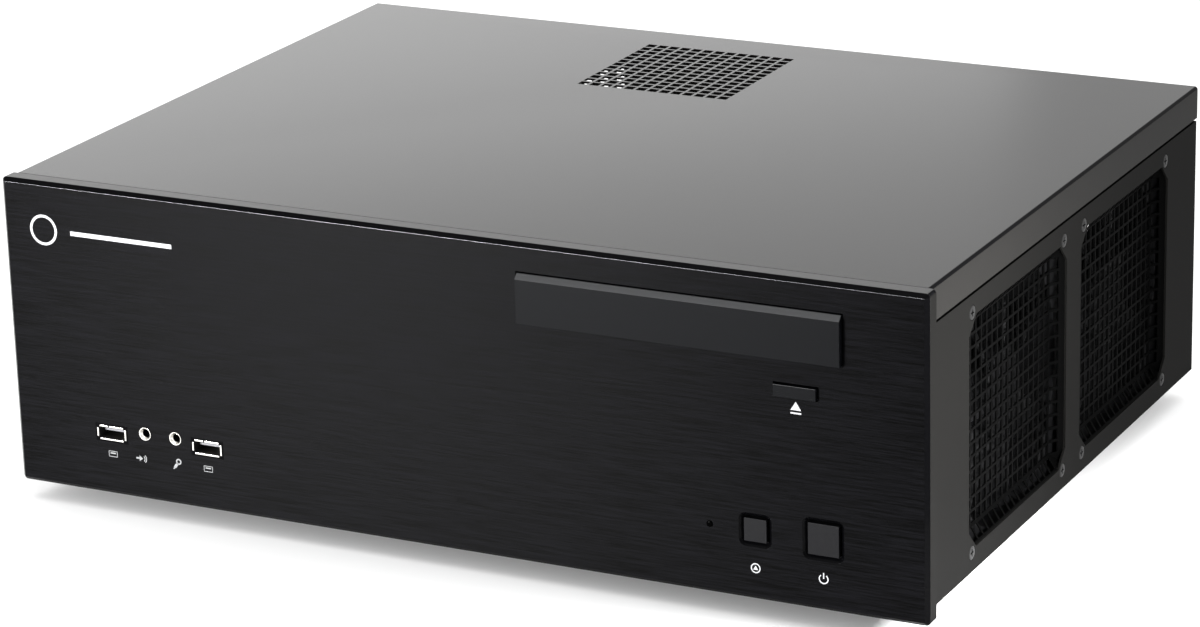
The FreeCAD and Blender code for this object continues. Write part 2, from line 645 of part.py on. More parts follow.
def fan_frame(size, bore, spacing, hub, depth):
    """A fan's square frame about its own axis, with its motor disc, four struts and a bearing tube."""
    half = f"{size}/2"
    square = box((f"-{half}", half), (f"-{half}", half), ("0", depth))
    drill = [rod("z", ("0", "0"), ("-1", f"{depth} + 1"), bore)]
    drill += [rod("z", spot, ("-1", f"{depth} + 1"), "fan_screw_radius + seat_gap")
              for spot in corners("0", "0", f"{spacing}/2")]
    ring = cut(square, *drill)
    disc = rod("z", ("0", "0"), ("0", "motor_plate"), f"{hub} - hub_overlap")
    tube = rod("z", ("0", "0"), ("motor_plate", f"{depth} - bearing_setback"), "bearing_radius")
    span = (f"-{bore} - hub_overlap/2", f"{bore} + hub_overlap/2")
    width = ("-strut_width/2", "strut_width/2")
    struts = [box(span, width, ("0", "motor_plate")), box(width, span, ("0", "motor_plate"))]
    bearing = rod("z", ("0", "0"), ("motor_plate/2", f"{depth}"), "shaft_radius + bearing_gap")
    return cut(fuse(ring, disc, tube, *struts), bearing)


def fan_rotor(bore, hub, depth, blades):
    """The hub, shaft and blades that turn in a fan's frame."""
    cup = cut(rod("z", ("0", "0"), ("motor_plate + window_gap", f"{depth} - hub_overlap"), hub),
              rod("z", ("0", "0"), ("0", f"{depth} - hub_overlap - hub_wall"), f"{hub} - hub_wall"))
    shaft = rod("z", ("0", "0"), ("motor_plate/2 + slide_gap", f"{depth} - hub_wall"), "shaft_radius")
    made = [cup, shaft]
    for k in range(blades):
        blade = box((f"{hub} - hub_overlap", f"{bore} - rotor_gap"),
                    ("-blade_thickness/2", "blade_thickness/2"),
                    (f"-({depth} - blade_room)/2", f"({depth} - blade_room)/2"))
        pitch = Rotation(Vector(1, 0, 0), SIZES["blade_angle"])
        pitched = turned(blade, pitch, z=f"({depth} + motor_plate)/2")
        made.append(turned(pitched, Rotation(Vector(0, 0, 1), 360 / blades * k)))
    return fuse(*made)


def grille():
    """A fan's grille about the fan's axis: X across, Y into the case from the side panel, Z up."""
    rim = box(("-fan_size/2", "fan_size/2"), ("0", "dish_wall"), ("-rim_half", "rim_half"))
    outer = dish("0", "dish_depth", "dish_wall", "window_width/2 + dish_wall", "window_height/2 + dish_wall")
    inner = dish("-dish_wall", "dish_depth - dish_wall", "0", "window_width/2 + dish_start",
                 "window_height/2 + dish_start")
    spots = corners("0", "0", "fan_screw_spacing/2")
    bosses = [rod("y", spot, ("0", "dish_depth"), "boss_radius") for spot in spots]
    bores = [rod("y", spot, ("-1", "dish_depth + 1"), "fan_screw_radius + seat_gap") for spot in spots]
    pan = cut(fuse(rim, outer), inner)
    return cut(fuse(cut(pan, mesh_holes()), *bosses), *bores)


def dish(front, back, grow, half_width, half_height):
    """A block that narrows by the dish's slope from its front to its back."""
    piece = new("Part::Wedge", "dish")
    taper = f"dish_slope*(({back}) - ({front}))/dish_depth"
    tie(piece, Ymin=front, Ymax=back)
    for axis, half in (("X", half_width), ("Z", half_height)):
        far = f"{half} - {taper}"
        tie(piece, **{f"{axis}min": f"-({half})", f"{axis}max": half, f"{axis}2min": f"-({far})",
                      f"{axis}2max": far})
    return piece


def mesh_holes():
    """The grille's square holes as blocks; no document feature repeats this many in a short time."""
    pitch, hole, depth = value("mesh_pitch"), value("mesh_hole"), value("dish_depth")
    columns, rows = int(value("mesh_columns")), int(value("mesh_rows"))
    limit = value("window_width/2 + window_height/2 - window_clip")
    blocks = []
    for i in range(columns):
        for j in range(rows):
            across = (i - (columns - 1) / 2) * pitch
            along = (j - (rows - 1) / 2) * pitch
            if abs(across) + abs(along) + hole < limit:
                low = Vector(across - hole / 2, -1, along - hole / 2)
                blocks.append(Part.makeBox(hole, depth + 2, hole, low))
    return new("Part::Feature", "mesh_holes", Shape=Part.makeCompound(blocks))


SIDE_FANS = {"right_front": ("+", "front_fan_y"), "right_rear": ("+", "rear_fan_y"),
             "left": ("-", "front_fan_y")}


def side_fans():
    """The three fans in the side walls with their grilles."""
    frame = fan_frame("fan_size", "fan_bore", "fan_screw_spacing", "hub_radius", "fan_depth")
    rotor = fan_rotor("fan_bore", "hub_radius", "fan_depth", SIZES["side_blades"])
    mesh = grille()
    for name, (sign, y) in SIDE_FANS.items():
        outward = Rotation(Vector(0, 1, 0), float(sign + "90"))
        inward = Rotation(Vector(0, 0, 1), float(sign + "90"))
        node(f"{name}_grille", turned(mesh, inward, f"{sign}(side_inner)", y, "fan_axis_z"))
        node(f"{name}_fan_frame", turned(frame, outward, f"{sign}(fan_inner)", y, "fan_axis_z"))
        node(f"{name}_fan_rotor", turned(rotor, outward, f"{sign}(fan_inner)", y, "fan_axis_z"))


def fan_screws():
    """Countersunk screws through the side walls into the corners of the side fans."""
    made = []
    reach = "dish_depth + fan_screw_bite"
    for sign, y in SIDE_FANS.values():
        for spot in corners(y, "fan_axis_z", "fan_screw_spacing/2"):
            if sign == "+":
                head = rod("x", spot, ("side_inner", "body_side"), "fan_screw_radius", "screw_head")
                shank = rod("x", spot, (f"side_inner - ({reach})", "side_inner"), "fan_screw_radius")
            else:
                head = rod("x", spot, ("-body_side", "-side_inner"), "screw_head", "fan_screw_radius")
                shank = rod("x", spot, ("-side_inner", f"-side_inner + {reach}"), "fan_screw_radius")
            made.append(fuse(head, shank))
    return group(*made)


# Buttons and front sockets

def push_button(name):
    """A button: its cap in the front panel, the flange that keeps it in and the stem to its switch."""
    x, z, width, height, proud, _ = BUTTONS[name]
    flange_front = "front_face + front_wall + slide_gap"
    cap = box((f"{x} - {width}/2", f"{x} + {width}/2"), (f"front_face - {proud}", flange_front),
              (f"{z} - {height}/2", f"{z} + {height}/2"))
    lip = box((f"{x} - {width}/2 - button_lip", f"{x} + {width}/2 + button_lip"),
              (flange_front, f"{flange_front} + button_flange"),
              (f"{z} - {height}/2 - button_lip", f"{z} + {height}/2 + button_lip"))
    stem = rod("y", (x, z), (flange_front, "stem_end"), "stem_radius")
    return fuse(cap, lip, stem)


def front_switch_board():
    plate = box(("led_x - switch_board_left", "power_middle_x + switch_board_right"),
                ("switch_base", "switch_back"), ("led_z - switch_board_half", "led_z + switch_board_half"))
    posts = [rod("y", (x, "led_z + post_rise"), ("frame_back", "switch_base"), "standoff_radius")
             for x in ("led_x + post_left", "power_middle_x - post_right")]
    return fuse(plate, *posts)


def front_switches():
    made = []
    for name in ("power_button", "reset_button"):
        x, z = BUTTONS[name][:2]
        middle = "switch_base - switch_body/2"
        case = around(x, middle, z, "switch_width/2", "switch_body/2", "switch_width/2")
        made.append(fuse(case, rod("y", (x, z), ("switch_face", middle), "plunger_radius")))
    return group(*made)


def status_led():
    spot = ("led_x", "led_z")
    return fuse(rod("y", spot, ("front_face - slide_gap", "switch_base"), "led_radius"),
                rod("y", spot, ("switch_base - led_foot", "switch_base"), "led_radius + led_rim"))


def front_socket_board():
    return box(("left_edge + usb_left - socket_board_margin",
                "left_edge + usb_right + usb_width + socket_board_margin"),
               ("frame_back + seat_gap", "frame_back + socket_board_depth"),
               ("usb_floor - board_sheet", "usb_floor"))


def usb_sockets():
    made = []
    for x in USB_PLACES:
        shell = box((x, f"{x} + usb_width"), ("socket_face", "socket_end"), ("usb_floor", "usb_roof"))
        mouth = around(f"{x} + usb_width/2", "socket_face + usb_depth/2 - 1", "usb_mouth_z",
                       "usb_mouth_width/2", "usb_depth/2 + 1", "usb_mouth_height/2")
        made.append(cut(shell, mouth))
    return group(*made)


def usb_tongues():
    top = "usb_mouth_z + usb_mouth_height/2 - tongue_drop"
    return group(*[box((f"{x} + (usb_width - tongue_width)/2", f"{x} + (usb_width + tongue_width)/2"),
                       ("socket_face + usb_depth - tongue_length", "socket_face + usb_depth"),
                       (f"{top} - tongue_height", top)) for x in USB_PLACES])


def audio_jacks():
    made = []
    for x in JACK_PLACES:
        barrel = rod("y", (x, "jack_z"), ("socket_face", "socket_face + jack_depth + 1"), "jack_radius")
        block = box((f"{x} - jack_block", f"{x} + jack_block"),
                    ("frame_back + 1", "socket_face + jack_depth + 1"), ("usb_floor", "jack_z + jack_block"))
        bore = rod("y", (x, "jack_z"), ("socket_face - 1", "socket_face + jack_depth"), "jack_bore")
        made.append(cut(fuse(barrel, block), bore))
    return group(*made)


# Drives

def optical_drive_housing():
    """A sheet case with two rails that carry the tray, and the lug of the eject switch on its front."""
    case = box(("drive_left", "drive_right"), ("drive_face", "drive_end"), ("drive_bottom", "drive_top"))
    inside = box(("drive_left + steel", "drive_right - steel"), ("drive_face + steel", "drive_end - steel"),
                 ("drive_bottom + steel", "drive_top - steel"))
    half_mouth = "tray_width/2 + tray_side_gap"
    mouth = box((f"drive_middle - ({half_mouth})", f"drive_middle + {half_mouth}"),
                ("drive_face - 1", "drive_face + steel + 1"), ("rail_top", "tray_top + tray_headroom"))
    under, beside = ("rail_top - rail_depth", "rail_top"), ("rail_top", "tray_top")
    rails = []
    for side in "-+":
        outer = f"drive_middle {side} (drive_width/2 - steel/2)"
        guide = f"drive_middle {side} ({half_mouth})"
        inner = f"drive_middle {side} ({half_mouth} - rail_width)"
        for edge, (low, high) in ((inner, under), (guide, beside)):
            across = (outer, edge) if side == "-" else (edge, outer)
            rails.append(box(across, ("drive_face + steel/2", "tray_end + window_gap"), (low, high)))
    lug = around("eject_middle_x", "drive_face", "eject_middle_z", "eject_lug/2", "eject_lug_reach",
                 "eject_lug_height/2")
    return fuse(cut(case, inside, mouth), *rails, lug)


def disc_tray():
    plate = box(("drive_middle - tray_width/2", "drive_middle + tray_width/2"), ("cover_back", "tray_end"),
                ("tray_bottom", "tray_top"))
    disc_middle = "cover_back + disc_inset + disc_radius"
    well = rod("z", ("drive_middle", disc_middle), ("tray_top - disc_recess", "tray_top + 1"), "disc_radius")
    spindle = box(("drive_middle - spindle_slot/2", "drive_middle + spindle_slot/2"),
                  (disc_middle, "tray_end - spindle_margin"), ("tray_bottom - 1", "tray_top + 1"))
    return cut(plate, well, spindle)


def drive_cover():
    return box(("cover_left", "cover_right"), ("front_face - drive_cover_proud", "cover_back"),
               ("cover_bottom", "cover_top"))


def bent_tray(left, right, floor, sides, span):
    """A U-shaped sheet tray about something that lies between left and right above its floor."""
    profile = [(f"{left} - steel", f"{floor} - steel"), (f"{right} + steel", f"{floor} - steel"),
               (f"{right} + steel", sides), (right, sides), (right, floor), (left, floor), (left, sides),
               (f"{left} - steel", sides)]
    body = new_body("bent_tray")
    pad(body, "XZ_Plane", span, [profile])
    return body


def drive_bracket():
    return bent_tray("drive_left - seat_gap", "drive_right + seat_gap", "drive_bottom - seat_gap",
                     "brace_bottom", ("frame_back", "brace_back"))


def cross_brace():
    body = new_body("brace")
    front, back, under = "brace_front + steel", "brace_back - steel", "cover_under - 2*steel"
    profile = [("brace_front", "brace_bottom"), (front, "brace_bottom"), (front, under), (back, under),
               (back, "brace_bottom"), ("brace_back", "brace_bottom"), ("brace_back", "cover_under - steel"),
               ("brace_front", "cover_under - steel")]
    pad(body, "YZ_Plane", ("-web_inner", "web_inner"), [profile])
    return body


def hard_drive_tray():
    return bent_tray("disk_x - seat_gap", "disk_x + disk_width + seat_gap", "base_top + steel",
                     "disk_z + disk_tray_side",
                     ("disk_y - disk_tray_margin", "disk_y + disk_length + disk_tray_margin"))


def hard_drive():
    block = box(("disk_x", "disk_x + disk_width"), ("disk_y", "disk_y + disk_length"),
                ("disk_z", "disk_z + disk_height - disk_lid"))
    lid = box(("disk_x + disk_lid_side", "disk_x + disk_width - disk_lid_side"),
              ("disk_y + disk_lid_front", "disk_y + disk_length - disk_lid_rear"),
              ("disk_z + disk_height - disk_lid", "disk_z + disk_height"))
    return fuse(block, lid)


# Main board

def slot_places():
    return [f"first_slot + {k}*slot_pitch" for k in range(4)]


def motherboard():
    return box(("board_left", "board_right"), ("board_front", "board_rear"), ("board_bottom", "board_top"))


def board_standoffs():
    return group(*[rod("z", (x, y), ("base_top", "board_bottom"), "standoff_radius")
                   for x in ("board_left + standoff_inset", "board_left + board_size/2",
                             "board_right - standoff_inset")
                   for y in ("board_front + standoff_inset", "board_front + board_size/2",
                             "board_rear - standoff_inset")])


def processor():
    half = "processor_size/2"
    socket = around("processor_x", "processor_y", "board_top + socket_height/2", f"{half} + socket_border",
                    f"{half} + socket_border", "socket_height/2")
    chip = around("processor_x", "processor_y", "processor_top - processor_lid/2", half, half,
                  "processor_lid/2")
    return fuse(socket, chip)


def processor_heatsink():
    half = "sink_size/2"
    base = around("processor_x", "processor_y", "processor_top + sink_base/2", half, half, "sink_base/2")
    step = "(sink_size - sink_fin)/(sink_fins - 1)"
    fins = []
    for k in range(SIZES["sink_fins"]):
        left = f"processor_x - {half} + {k}*{step}"
        fins.append(box((left, f"{left} + sink_fin"), (f"processor_y - {half}", f"processor_y + {half}"),
                        ("processor_top + sink_base", "sink_top")))
    return fuse(base, *fins)


def small_fans():
    """The processor's fan and the power supply's fan, which are the same size."""
    frame = fan_frame("cooler_size", "small_bore", "small_screw_spacing", "small_hub", "cooler_depth")
    rotor = fan_rotor("small_bore", "small_hub", "cooler_depth", SIZES["small_blades"])
    on_sink = ("processor_x", "processor_y", "sink_top")
    in_supply = ("supply_fan_x", "supply_fan_y", "supply_fan_z")
    for name, aim, place in (("processor", AIM["z"], on_sink), ("supply", AIM["y"], in_supply)):
        node(f"{name}_fan_frame", turned(frame, aim, *place))
        node(f"{name}_fan_rotor", turned(rotor, aim, *place))


def memory_places():
    return [f"board_front + memory_front + {k}*memory_pitch" for k in range(2)]


def memory_modules():
    return group(*[box(("memory_left", "memory_left + memory_length"),
                       (f"{y} - memory_sheet/2", f"{y} + memory_sheet/2"),
                       ("board_top + memory_lift", "board_top + memory_height")) for y in memory_places()])


def board_sockets():
    """Expansion sockets, memory sockets and the power and data sockets of the main board."""
    return group(*card_sockets(), *memory_sockets(), *plug_sockets())


def card_sockets():
    return [box((f"{x} - card_socket_width/2", f"{x} + card_socket_width/2"),
                ("board_rear - card_socket_far", "board_rear - card_socket_near"),
                ("board_top", "board_top + card_socket_height")) for x in slot_places()]


def memory_sockets():
    made = []
    for y in memory_places():
        block = box(("memory_left - memory_socket_end", "memory_left + memory_length + memory_socket_end"),
                    (f"{y} - memory_socket/2", f"{y} + memory_socket/2"),
                    ("board_top", "board_top + memory_socket_height"))
        groove = box(("memory_left - seat_gap", "memory_left + memory_length + seat_gap"),
                     (f"{y} - memory_sheet/2 - seat_gap", f"{y} + memory_sheet/2 + seat_gap"),
                     ("board_top + memory_lift - seat_gap", "board_top + memory_socket_height + 1"))
        made.append(cut(block, groove))
    return made


def plug_sockets():
    """The main power socket and four data sockets along the board's front edge."""
    places = [("board_right - 80", 52, 10, 13)]    # left side, width, depth, height
    places += [(f"board_left + {20 + 14 * k}", 10, 16, 9) for k in range(4)]
    return [box((left, f"{left} + {width}"), ("board_front + 4", f"board_front + 4 + {depth}"),
                ("board_top", f"board_top + {height}")) for left, width, depth, height in places]


def chipset_heatsink():
    x, y = "board_left + chipset_left", "board_front + chipset_front"
    along = (y, f"{y} + chipset_size")
    plate = box((x, f"{x} + chipset_size"), along, ("board_top", "board_top + chipset_base"))
    step = "(chipset_size - chipset_fin)/(chipset_fins - 1)"
    fins = [box((f"{x} + {k}*{step}", f"{x} + {k}*{step} + chipset_fin"), along,
                ("board_top + chipset_base", "board_top + chipset_height"))
            for k in range(SIZES["chipset_fins"])]
    return fuse(plate, *fins)


def capacitors():
    row = "processor_y + sink_size/2 + can_pitch"
    return group(*[rod("z", (f"processor_x + ({k} - (can_count - 1)/2)*can_pitch", row),
                       ("board_top", "board_top + can_height"), "can_radius")
                   for k in range(SIZES["can_count"])])


# Rear sockets: place along the shield, rise, width and height of each shell
PORTS = [(place, rise, 14.5, 6.8) for place in (30, 48, 68) for rise in (6, 16)]
PORTS += [(67, 27, 16.5, 13.5), (92, 6, 31, 12), (97, 26, 16, 6.5), (132, 6, 14.5, 14.5)]
JACKS = [(16, 10), (16, 22), (16, 34)]


def rear_port_shield():
    body = new_body("shield")
    outline = rectangle(("ports_left + seat_gap", "ports_right - seat_gap"),
                        ("ports_bottom + seat_gap", "ports_top - seat_gap"))
    mouths = [grown(*port_span(*port), "seat_gap") for port in PORTS]
    rounds = [(f"ports_left + {x}", f"ports_bottom + {z}", "jack_radius + seat_gap") for x, z in JACKS]
    pad(body, "XZ_Plane", ("rear_inner", "rear_face"), [outline] + mouths, rounds)
    return body


def port_span(place, rise, width, height):
    return ((f"ports_left + {place}", f"ports_left + {place + width}"),
            (f"ports_bottom + {rise}", f"ports_bottom + {rise + height}"))


def rear_ports():
    made = []
    for port in PORTS:
        across, along = port_span(*port)
        shell = box(across, ("port_front", "port_face"), along)
        mouth = box((f"{across[0]} + port_wall", f"{across[1]} - port_wall"),
                    ("port_face - port_depth", "port_face + 1"),
                    (f"{along[0]} + port_wall", f"{along[1]} - port_wall"))
        made.append(cut(shell, mouth))
    return group(*made)


def rear_audio_jacks():
    made = []
    for x, z in JACKS:
        spot = (f"ports_left + {x}", f"ports_bottom + {z}")
        across, along = [(f"{middle} - rear_jack_block", f"{middle} + rear_jack_block") for middle in spot]
        block = box(across, ("port_front", "rear_inner"), along)
        barrel = rod("y", spot, ("port_front", "port_face"), "jack_radius")
        bore = rod("y", spot, ("port_face - jack_depth", "port_face + 1"), "jack_bore")
        made.append(cut(fuse(block, barrel), bore))
    return group(*made)


def slot_covers():
    made = []
    for x in slot_places():
        strip = box((f"{x} - slot_width/2", f"{x} + slot_width/2"), ("rear_inner - steel", "rear_inner"),
                    ("base_top + slot_lift", "base_top + slot_height"))
        hole = rod("y", (x, "slot_screw_z"), ("rear_inner - 2*steel", "rear_inner + 1"),
                   "screw_radius + seat_gap")
        made.append(cut(strip, hole))
    return group(*made)


def slot_screws():
    """The screws that hold the slot covers."""
    return group(*[screw("y", (x, "slot_screw_z"), "rear_face", "rear_inner - 2*steel",
                         "rear_face + screw_head_height") for x in slot_places()])


def cover_thumbscrews():
    return group(*[screw("y", (x, "thumb_z"), "rear_edge", "rear_inner - thumb_bite",
                         "rear_edge + thumb_length", head="thumb_radius") for x in thumb_places()])


# Power supply

def power_supply_case():
    outer = box(("supply_left", "supply_right"), ("supply_front", "rear_inner"), ("base_top", "supply_top"))
    inner = box(("supply_left + steel", "supply_right - steel"),
                ("supply_front + steel", "rear_inner - steel"), ("base_top + steel", "supply_top - steel"))
    fan = rod("y", ("supply_fan_x", "supply_fan_z"), ("rear_inner - 2*steel", "rear_inner + 1"), "small_bore")
    inlet = box(("inlet_x - inlet_width/2 - seat_gap", "inlet_x + inlet_width/2 + seat_gap"),
                ("rear_inner - 2*steel", "rear_inner + 1"),
                ("inlet_bottom - seat_gap", "inlet_top + seat_gap"))
    slots = []
    for k in range(SIZES["supply_slots"]):
        low = f"base_top + supply_slot_rise + {k}*supply_slot_step"
        slots.append(box(("supply_left + supply_slot_left", "supply_right - supply_slot_right"),
                         ("supply_front - 1", "supply_front + 2*steel"), (low, f"{low} + supply_slot")))
    return cut(outer, inner, fan, inlet, *slots)


def power_inlet():
    """The mains inlet and the well of the rocker switch in one moulding, with the inlet's three pins."""
    body = box(("inlet_x - inlet_width/2", "inlet_x + inlet_width/2"),
               ("rear_inner - inlet_length", "rear_inner"), ("inlet_bottom", "inlet_top"))
    lip = box(("inlet_x - inlet_width/2 - inlet_lip", "inlet_x + inlet_width/2 + inlet_lip"),
              ("rear_inner", "inlet_face"), ("inlet_bottom - inlet_lip", "inlet_top + inlet_lip"))
    mouth = box(("inlet_x - inlet_mouth_width/2", "inlet_x + inlet_mouth_width/2"),
                ("inlet_face - inlet_depth", "inlet_face + 1"),
                ("inlet_z - inlet_mouth_height/2", "inlet_z + inlet_mouth_height/2"))
    well = box(("inlet_x - rocker_width/2 - slide_gap", "inlet_x + rocker_width/2 + slide_gap"),
               ("inlet_face - rocker_well + 1", "inlet_face + 1"),
               ("rocker_z - rocker_height/2 - window_gap", "rocker_z + rocker_height/2 + window_gap"))
    pivots = rod("x", ("pivot_y", "rocker_z"),
                 ("inlet_x - rocker_width/2 - pivot_reach - seat_gap",
                  "inlet_x + rocker_width/2 + pivot_reach + seat_gap"), "pivot_radius + bearing_gap")
    pin_end = "inlet_face - inlet_depth + pin_length/2"
    pins = [around(f"inlet_x + {x}", pin_end, f"inlet_z + {z}", "pin_half", "pin_length/2", "2*pin_half")
            for x, z in (("-pin_spacing", "-pin_shift"), ("pin_spacing", "-pin_shift"), ("0", "pin_shift"))]
    return group(cut(fuse(body, lip), mouth, well, pivots), *pins)


def supply_rocker_switch():
    """The rocker about its pivot, leaning to one side as it rests, with a shallow valley in its face."""
    body = new_body("rocker")
    half = "rocker_height/2"
    face = [("-rocker_foot", f"-{half} + rocker_foot"), ("-rocker_edge", f"-{half}"),
            ("rocker_crown", f"-{half}"), ("rocker_valley", "0"), ("rocker_crown", half),
            ("-rocker_edge", half), ("-rocker_foot", f"{half} - rocker_foot")]
    pad(body, "YZ_Plane", ("-rocker_width/2", "rocker_width/2"), [face])
    pin_end = "rocker_width/2 + pivot_reach"
    pins = rod("x", ("0", "0"), (f"-({pin_end})", pin_end), "pivot_radius")
    return turned(fuse(body, pins), Rotation(Vector(1, 0, 0), SIZES["rocker_angle"]), "inlet_x", "pivot_y",
                  "rocker_z")


def supply_fan_guard():
    """Wire rings over the power supply's fan, joined by two crossed bars."""
    middle = ("supply_fan_x", "rear_inner + wire_radius", "supply_fan_z")
    rings = []
    for k in range(SIZES["guard_rings"]):
        ring = tie(new("Part::Torus", "ring"), Radius1=f"small_bore - rotor_gap - {k}*guard_ring",
                   Radius2="wire_radius")
        ring.Placement = FreeCAD.Placement(Vector(), AIM["y"])
        rings.append(tie(ring, **dict(zip("xyz", middle))))
    reach = "small_screw_spacing/2*sqrt(2)"
    bars = [turned(rod("x", ("0", "0"), (f"-{reach}", reach), "wire_radius"),
                   Rotation(Vector(0, 1, 0), angle), *middle) for angle in (45, 135)]
    return fuse(*rings, *bars)


EACH = [
    front_panel, front_subframe, base_pan, rear_panel, top_cover, feet, foot_pads, foot_screws, fan_screws,
    cover_thumbscrews, front_switch_board, front_switches, status_led, front_socket_board, usb_sockets,
    usb_tongues, audio_jacks, optical_drive_housing, disc_tray, drive_cover, drive_bracket, cross_brace,
    hard_drive_tray, hard_drive, motherboard, board_standoffs, processor, processor_heatsink,
    memory_modules, board_sockets, chipset_heatsink, capacitors, rear_port_shield, rear_ports,
    rear_audio_jacks, slot_covers, slot_screws, power_supply_case, power_inlet, supply_rocker_switch,
    supply_fan_guard,
]
for make in EACH:
    node(make.__name__, make())
node("right_side_panel", side_panel("right_wall", "+", ("front_fan_y", "rear_fan_y")))
node("left_side_panel", side_panel("left_wall", "-", ("front_fan_y",)))
for button in BUTTONS:
    node(button, push_button(button))
side_fans()
small_fans()

doc.recompute()
for item in doc.Objects:
    if "Invalid" in item.State or "Error" in item.State:
        raise ValueError(f"{item.Label} failed: {item.State}")
for piece in NODES:
    if piece.Shape.isNull() or not piece.Shape.isValid():
        raise ValueError(f"{piece.Label} has no valid shape")
os.makedirs("parts", exist_ok=True)
for piece in NODES:
    piece.Shape.exportStep(f"parts/{piece.Label}.step")
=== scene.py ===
"""Looks of a horizontal desktop computer: finishes, rounded edges and the small pieces on and in the case.

Metres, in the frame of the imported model: +X to the right, +Y to the back, +Z up, feet on Z = 0.
"""
import json
from math import atan2, cos, pi, radians, sin

import bmesh
import bpy
from mathutils import Matrix, Vector


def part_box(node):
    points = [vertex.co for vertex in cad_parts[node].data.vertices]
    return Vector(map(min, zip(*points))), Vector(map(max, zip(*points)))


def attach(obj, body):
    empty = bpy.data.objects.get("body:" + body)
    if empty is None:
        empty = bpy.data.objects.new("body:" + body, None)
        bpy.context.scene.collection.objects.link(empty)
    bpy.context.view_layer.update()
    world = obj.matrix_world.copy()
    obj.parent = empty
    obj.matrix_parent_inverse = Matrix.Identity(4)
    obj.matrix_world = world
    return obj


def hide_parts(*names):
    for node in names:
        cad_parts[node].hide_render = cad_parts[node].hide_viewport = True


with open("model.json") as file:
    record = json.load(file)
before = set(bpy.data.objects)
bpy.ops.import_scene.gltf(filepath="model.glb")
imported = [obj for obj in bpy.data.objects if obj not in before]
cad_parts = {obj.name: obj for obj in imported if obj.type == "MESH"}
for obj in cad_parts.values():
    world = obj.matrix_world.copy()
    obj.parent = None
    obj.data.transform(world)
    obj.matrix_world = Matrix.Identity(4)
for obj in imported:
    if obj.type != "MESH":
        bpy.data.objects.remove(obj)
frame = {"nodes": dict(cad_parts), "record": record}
NODES = frame["nodes"]
BODIES = {node: body for body, nodes in frame["record"]["behaviour"]["bodies"].items() for node in nodes}
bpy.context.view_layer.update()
MM = 0.001


# Camera, lights and floor

CAMERA_PLACE = (0.8272, -1.6332, 0.6761)
AZIMUTH, ELEVATION, ROLL = 27.15, 18.47, -1.56  # degrees; azimuth from the front towards the right
LENS, SENSOR_WIDTH = 126.9, 36  # millimetres
FLOOR_WIDTH, FLOOR_GREY, FLOOR_ROUGHNESS = 12, 0.94, 0.85
LIGHTS = {  # place, target, width and height, watts
    "back_light": ((-0.75, 1.25, 0.42), (0, 0.1, 0.15), (0.9, 0.35), 0.85),
    "left_light": ((-0.57, -1.15, 0.08), (-0.05, -0.165, 0.08), (0.42, 0.13), 45),
    "right_light": ((0.37, -0.135, 0.115), (0.22, -0.13, 0.12), (0.06, 0.06), 2.3),
    "top_light": ((0, 0, 2.5), (0, 0, 0), (3, 3), 32),
}


def set_camera():
    """A long lens, seen from the front right and above, with a slight roll."""
    data = bpy.data.cameras.new("camera")
    data.sensor_width = SENSOR_WIDTH
    data.lens = LENS
    data.clip_end = 20
    camera = bpy.data.objects.new("camera", data)
    turn = Matrix.Rotation(radians(AZIMUTH), 4, "Z")
    tip = Matrix.Rotation(radians(90 - ELEVATION), 4, "X")
    roll = Matrix.Rotation(radians(ROLL), 4, "Z")
    camera.matrix_world = Matrix.Translation(CAMERA_PLACE) @ turn @ tip @ roll
    bpy.context.scene.collection.objects.link(camera)
    bpy.context.scene.camera = camera


def soft_light(name, place, target, size, power):
    """An area light that looks at a target and doesn't show itself."""
    data = bpy.data.lights.new(name, "AREA")
    data.shape = "RECTANGLE"
    data.size, data.size_y = size
    data.energy = power
    light = bpy.data.objects.new(name, data)
    light.location = place
    light.rotation_euler = (Vector(target) - Vector(place)).to_track_quat("-Z", "Y").to_euler()
    light.visible_camera = False
    bpy.context.scene.collection.objects.link(light)


def set_room():
    """A white room with four soft lights; those at the front stay below the lid, out of its reflections."""
    bpy.context.scene.view_settings.view_transform = "Standard"
    world = bpy.data.worlds.new("room")
    world.use_nodes = True
    background = world.node_tree.nodes["Background"]
    background.inputs["Color"].default_value = (1, 1, 1, 1)
    background.inputs["Strength"].default_value = 1.0
    bpy.context.scene.world = world
    for name, setting in LIGHTS.items():
        soft_light(name, *setting)


def set_floor():
    """A pale matt floor that runs out to the white of the room."""
    deselect()
    bpy.ops.mesh.primitive_plane_add(size=FLOOR_WIDTH, location=(0, 0, 0))
    floor = bpy.context.object
    floor.name = "floor"
    material = bpy.data.materials.new("pale_floor")
    material.use_nodes = True
    shader = material.node_tree.nodes["Principled BSDF"]
    shader.inputs["Base Color"].default_value = (FLOOR_GREY, FLOOR_GREY, FLOOR_GREY, 1)
    shader.inputs["Roughness"].default_value = FLOOR_ROUGHNESS
    floor.data.materials.append(material)


# Shaping tools

AXES = {"x": Vector((1, 0, 0)), "y": Vector((0, 1, 0)), "z": Vector((0, 0, 1))}
AIM = {"x": (0, radians(90), 0), "y": (radians(-90), 0, 0), "z": (0, 0, 0)}  # turns a disc along an axis
SHARP = radians(30)  # an edge that turns more than this gets rounded
FLAT = radians(0.5)  # faces that turn less than this become one
SAME_PLACE = 0.005 * MM  # points nearer than this become one


def deselect():
    """Select nothing, so that the next operator acts on its own piece alone."""
    bpy.ops.object.select_all(action="DESELECT")


def use(piece):
    """Make a piece the active one, and the only one selected."""
    deselect()
    piece.select_set(True)
    bpy.context.view_layer.objects.active = piece


def settle():
    """Put the place of the active object into its mesh."""
    bpy.ops.object.transform_apply(location=True, rotation=True, scale=True)
    return bpy.context.object


def block(low, high):
    """A block between two corners."""
    deselect()
    low, high = Vector(low), Vector(high)
    bpy.ops.mesh.primitive_cube_add(size=1, location=(low + high) / 2, scale=high - low)
    return settle()


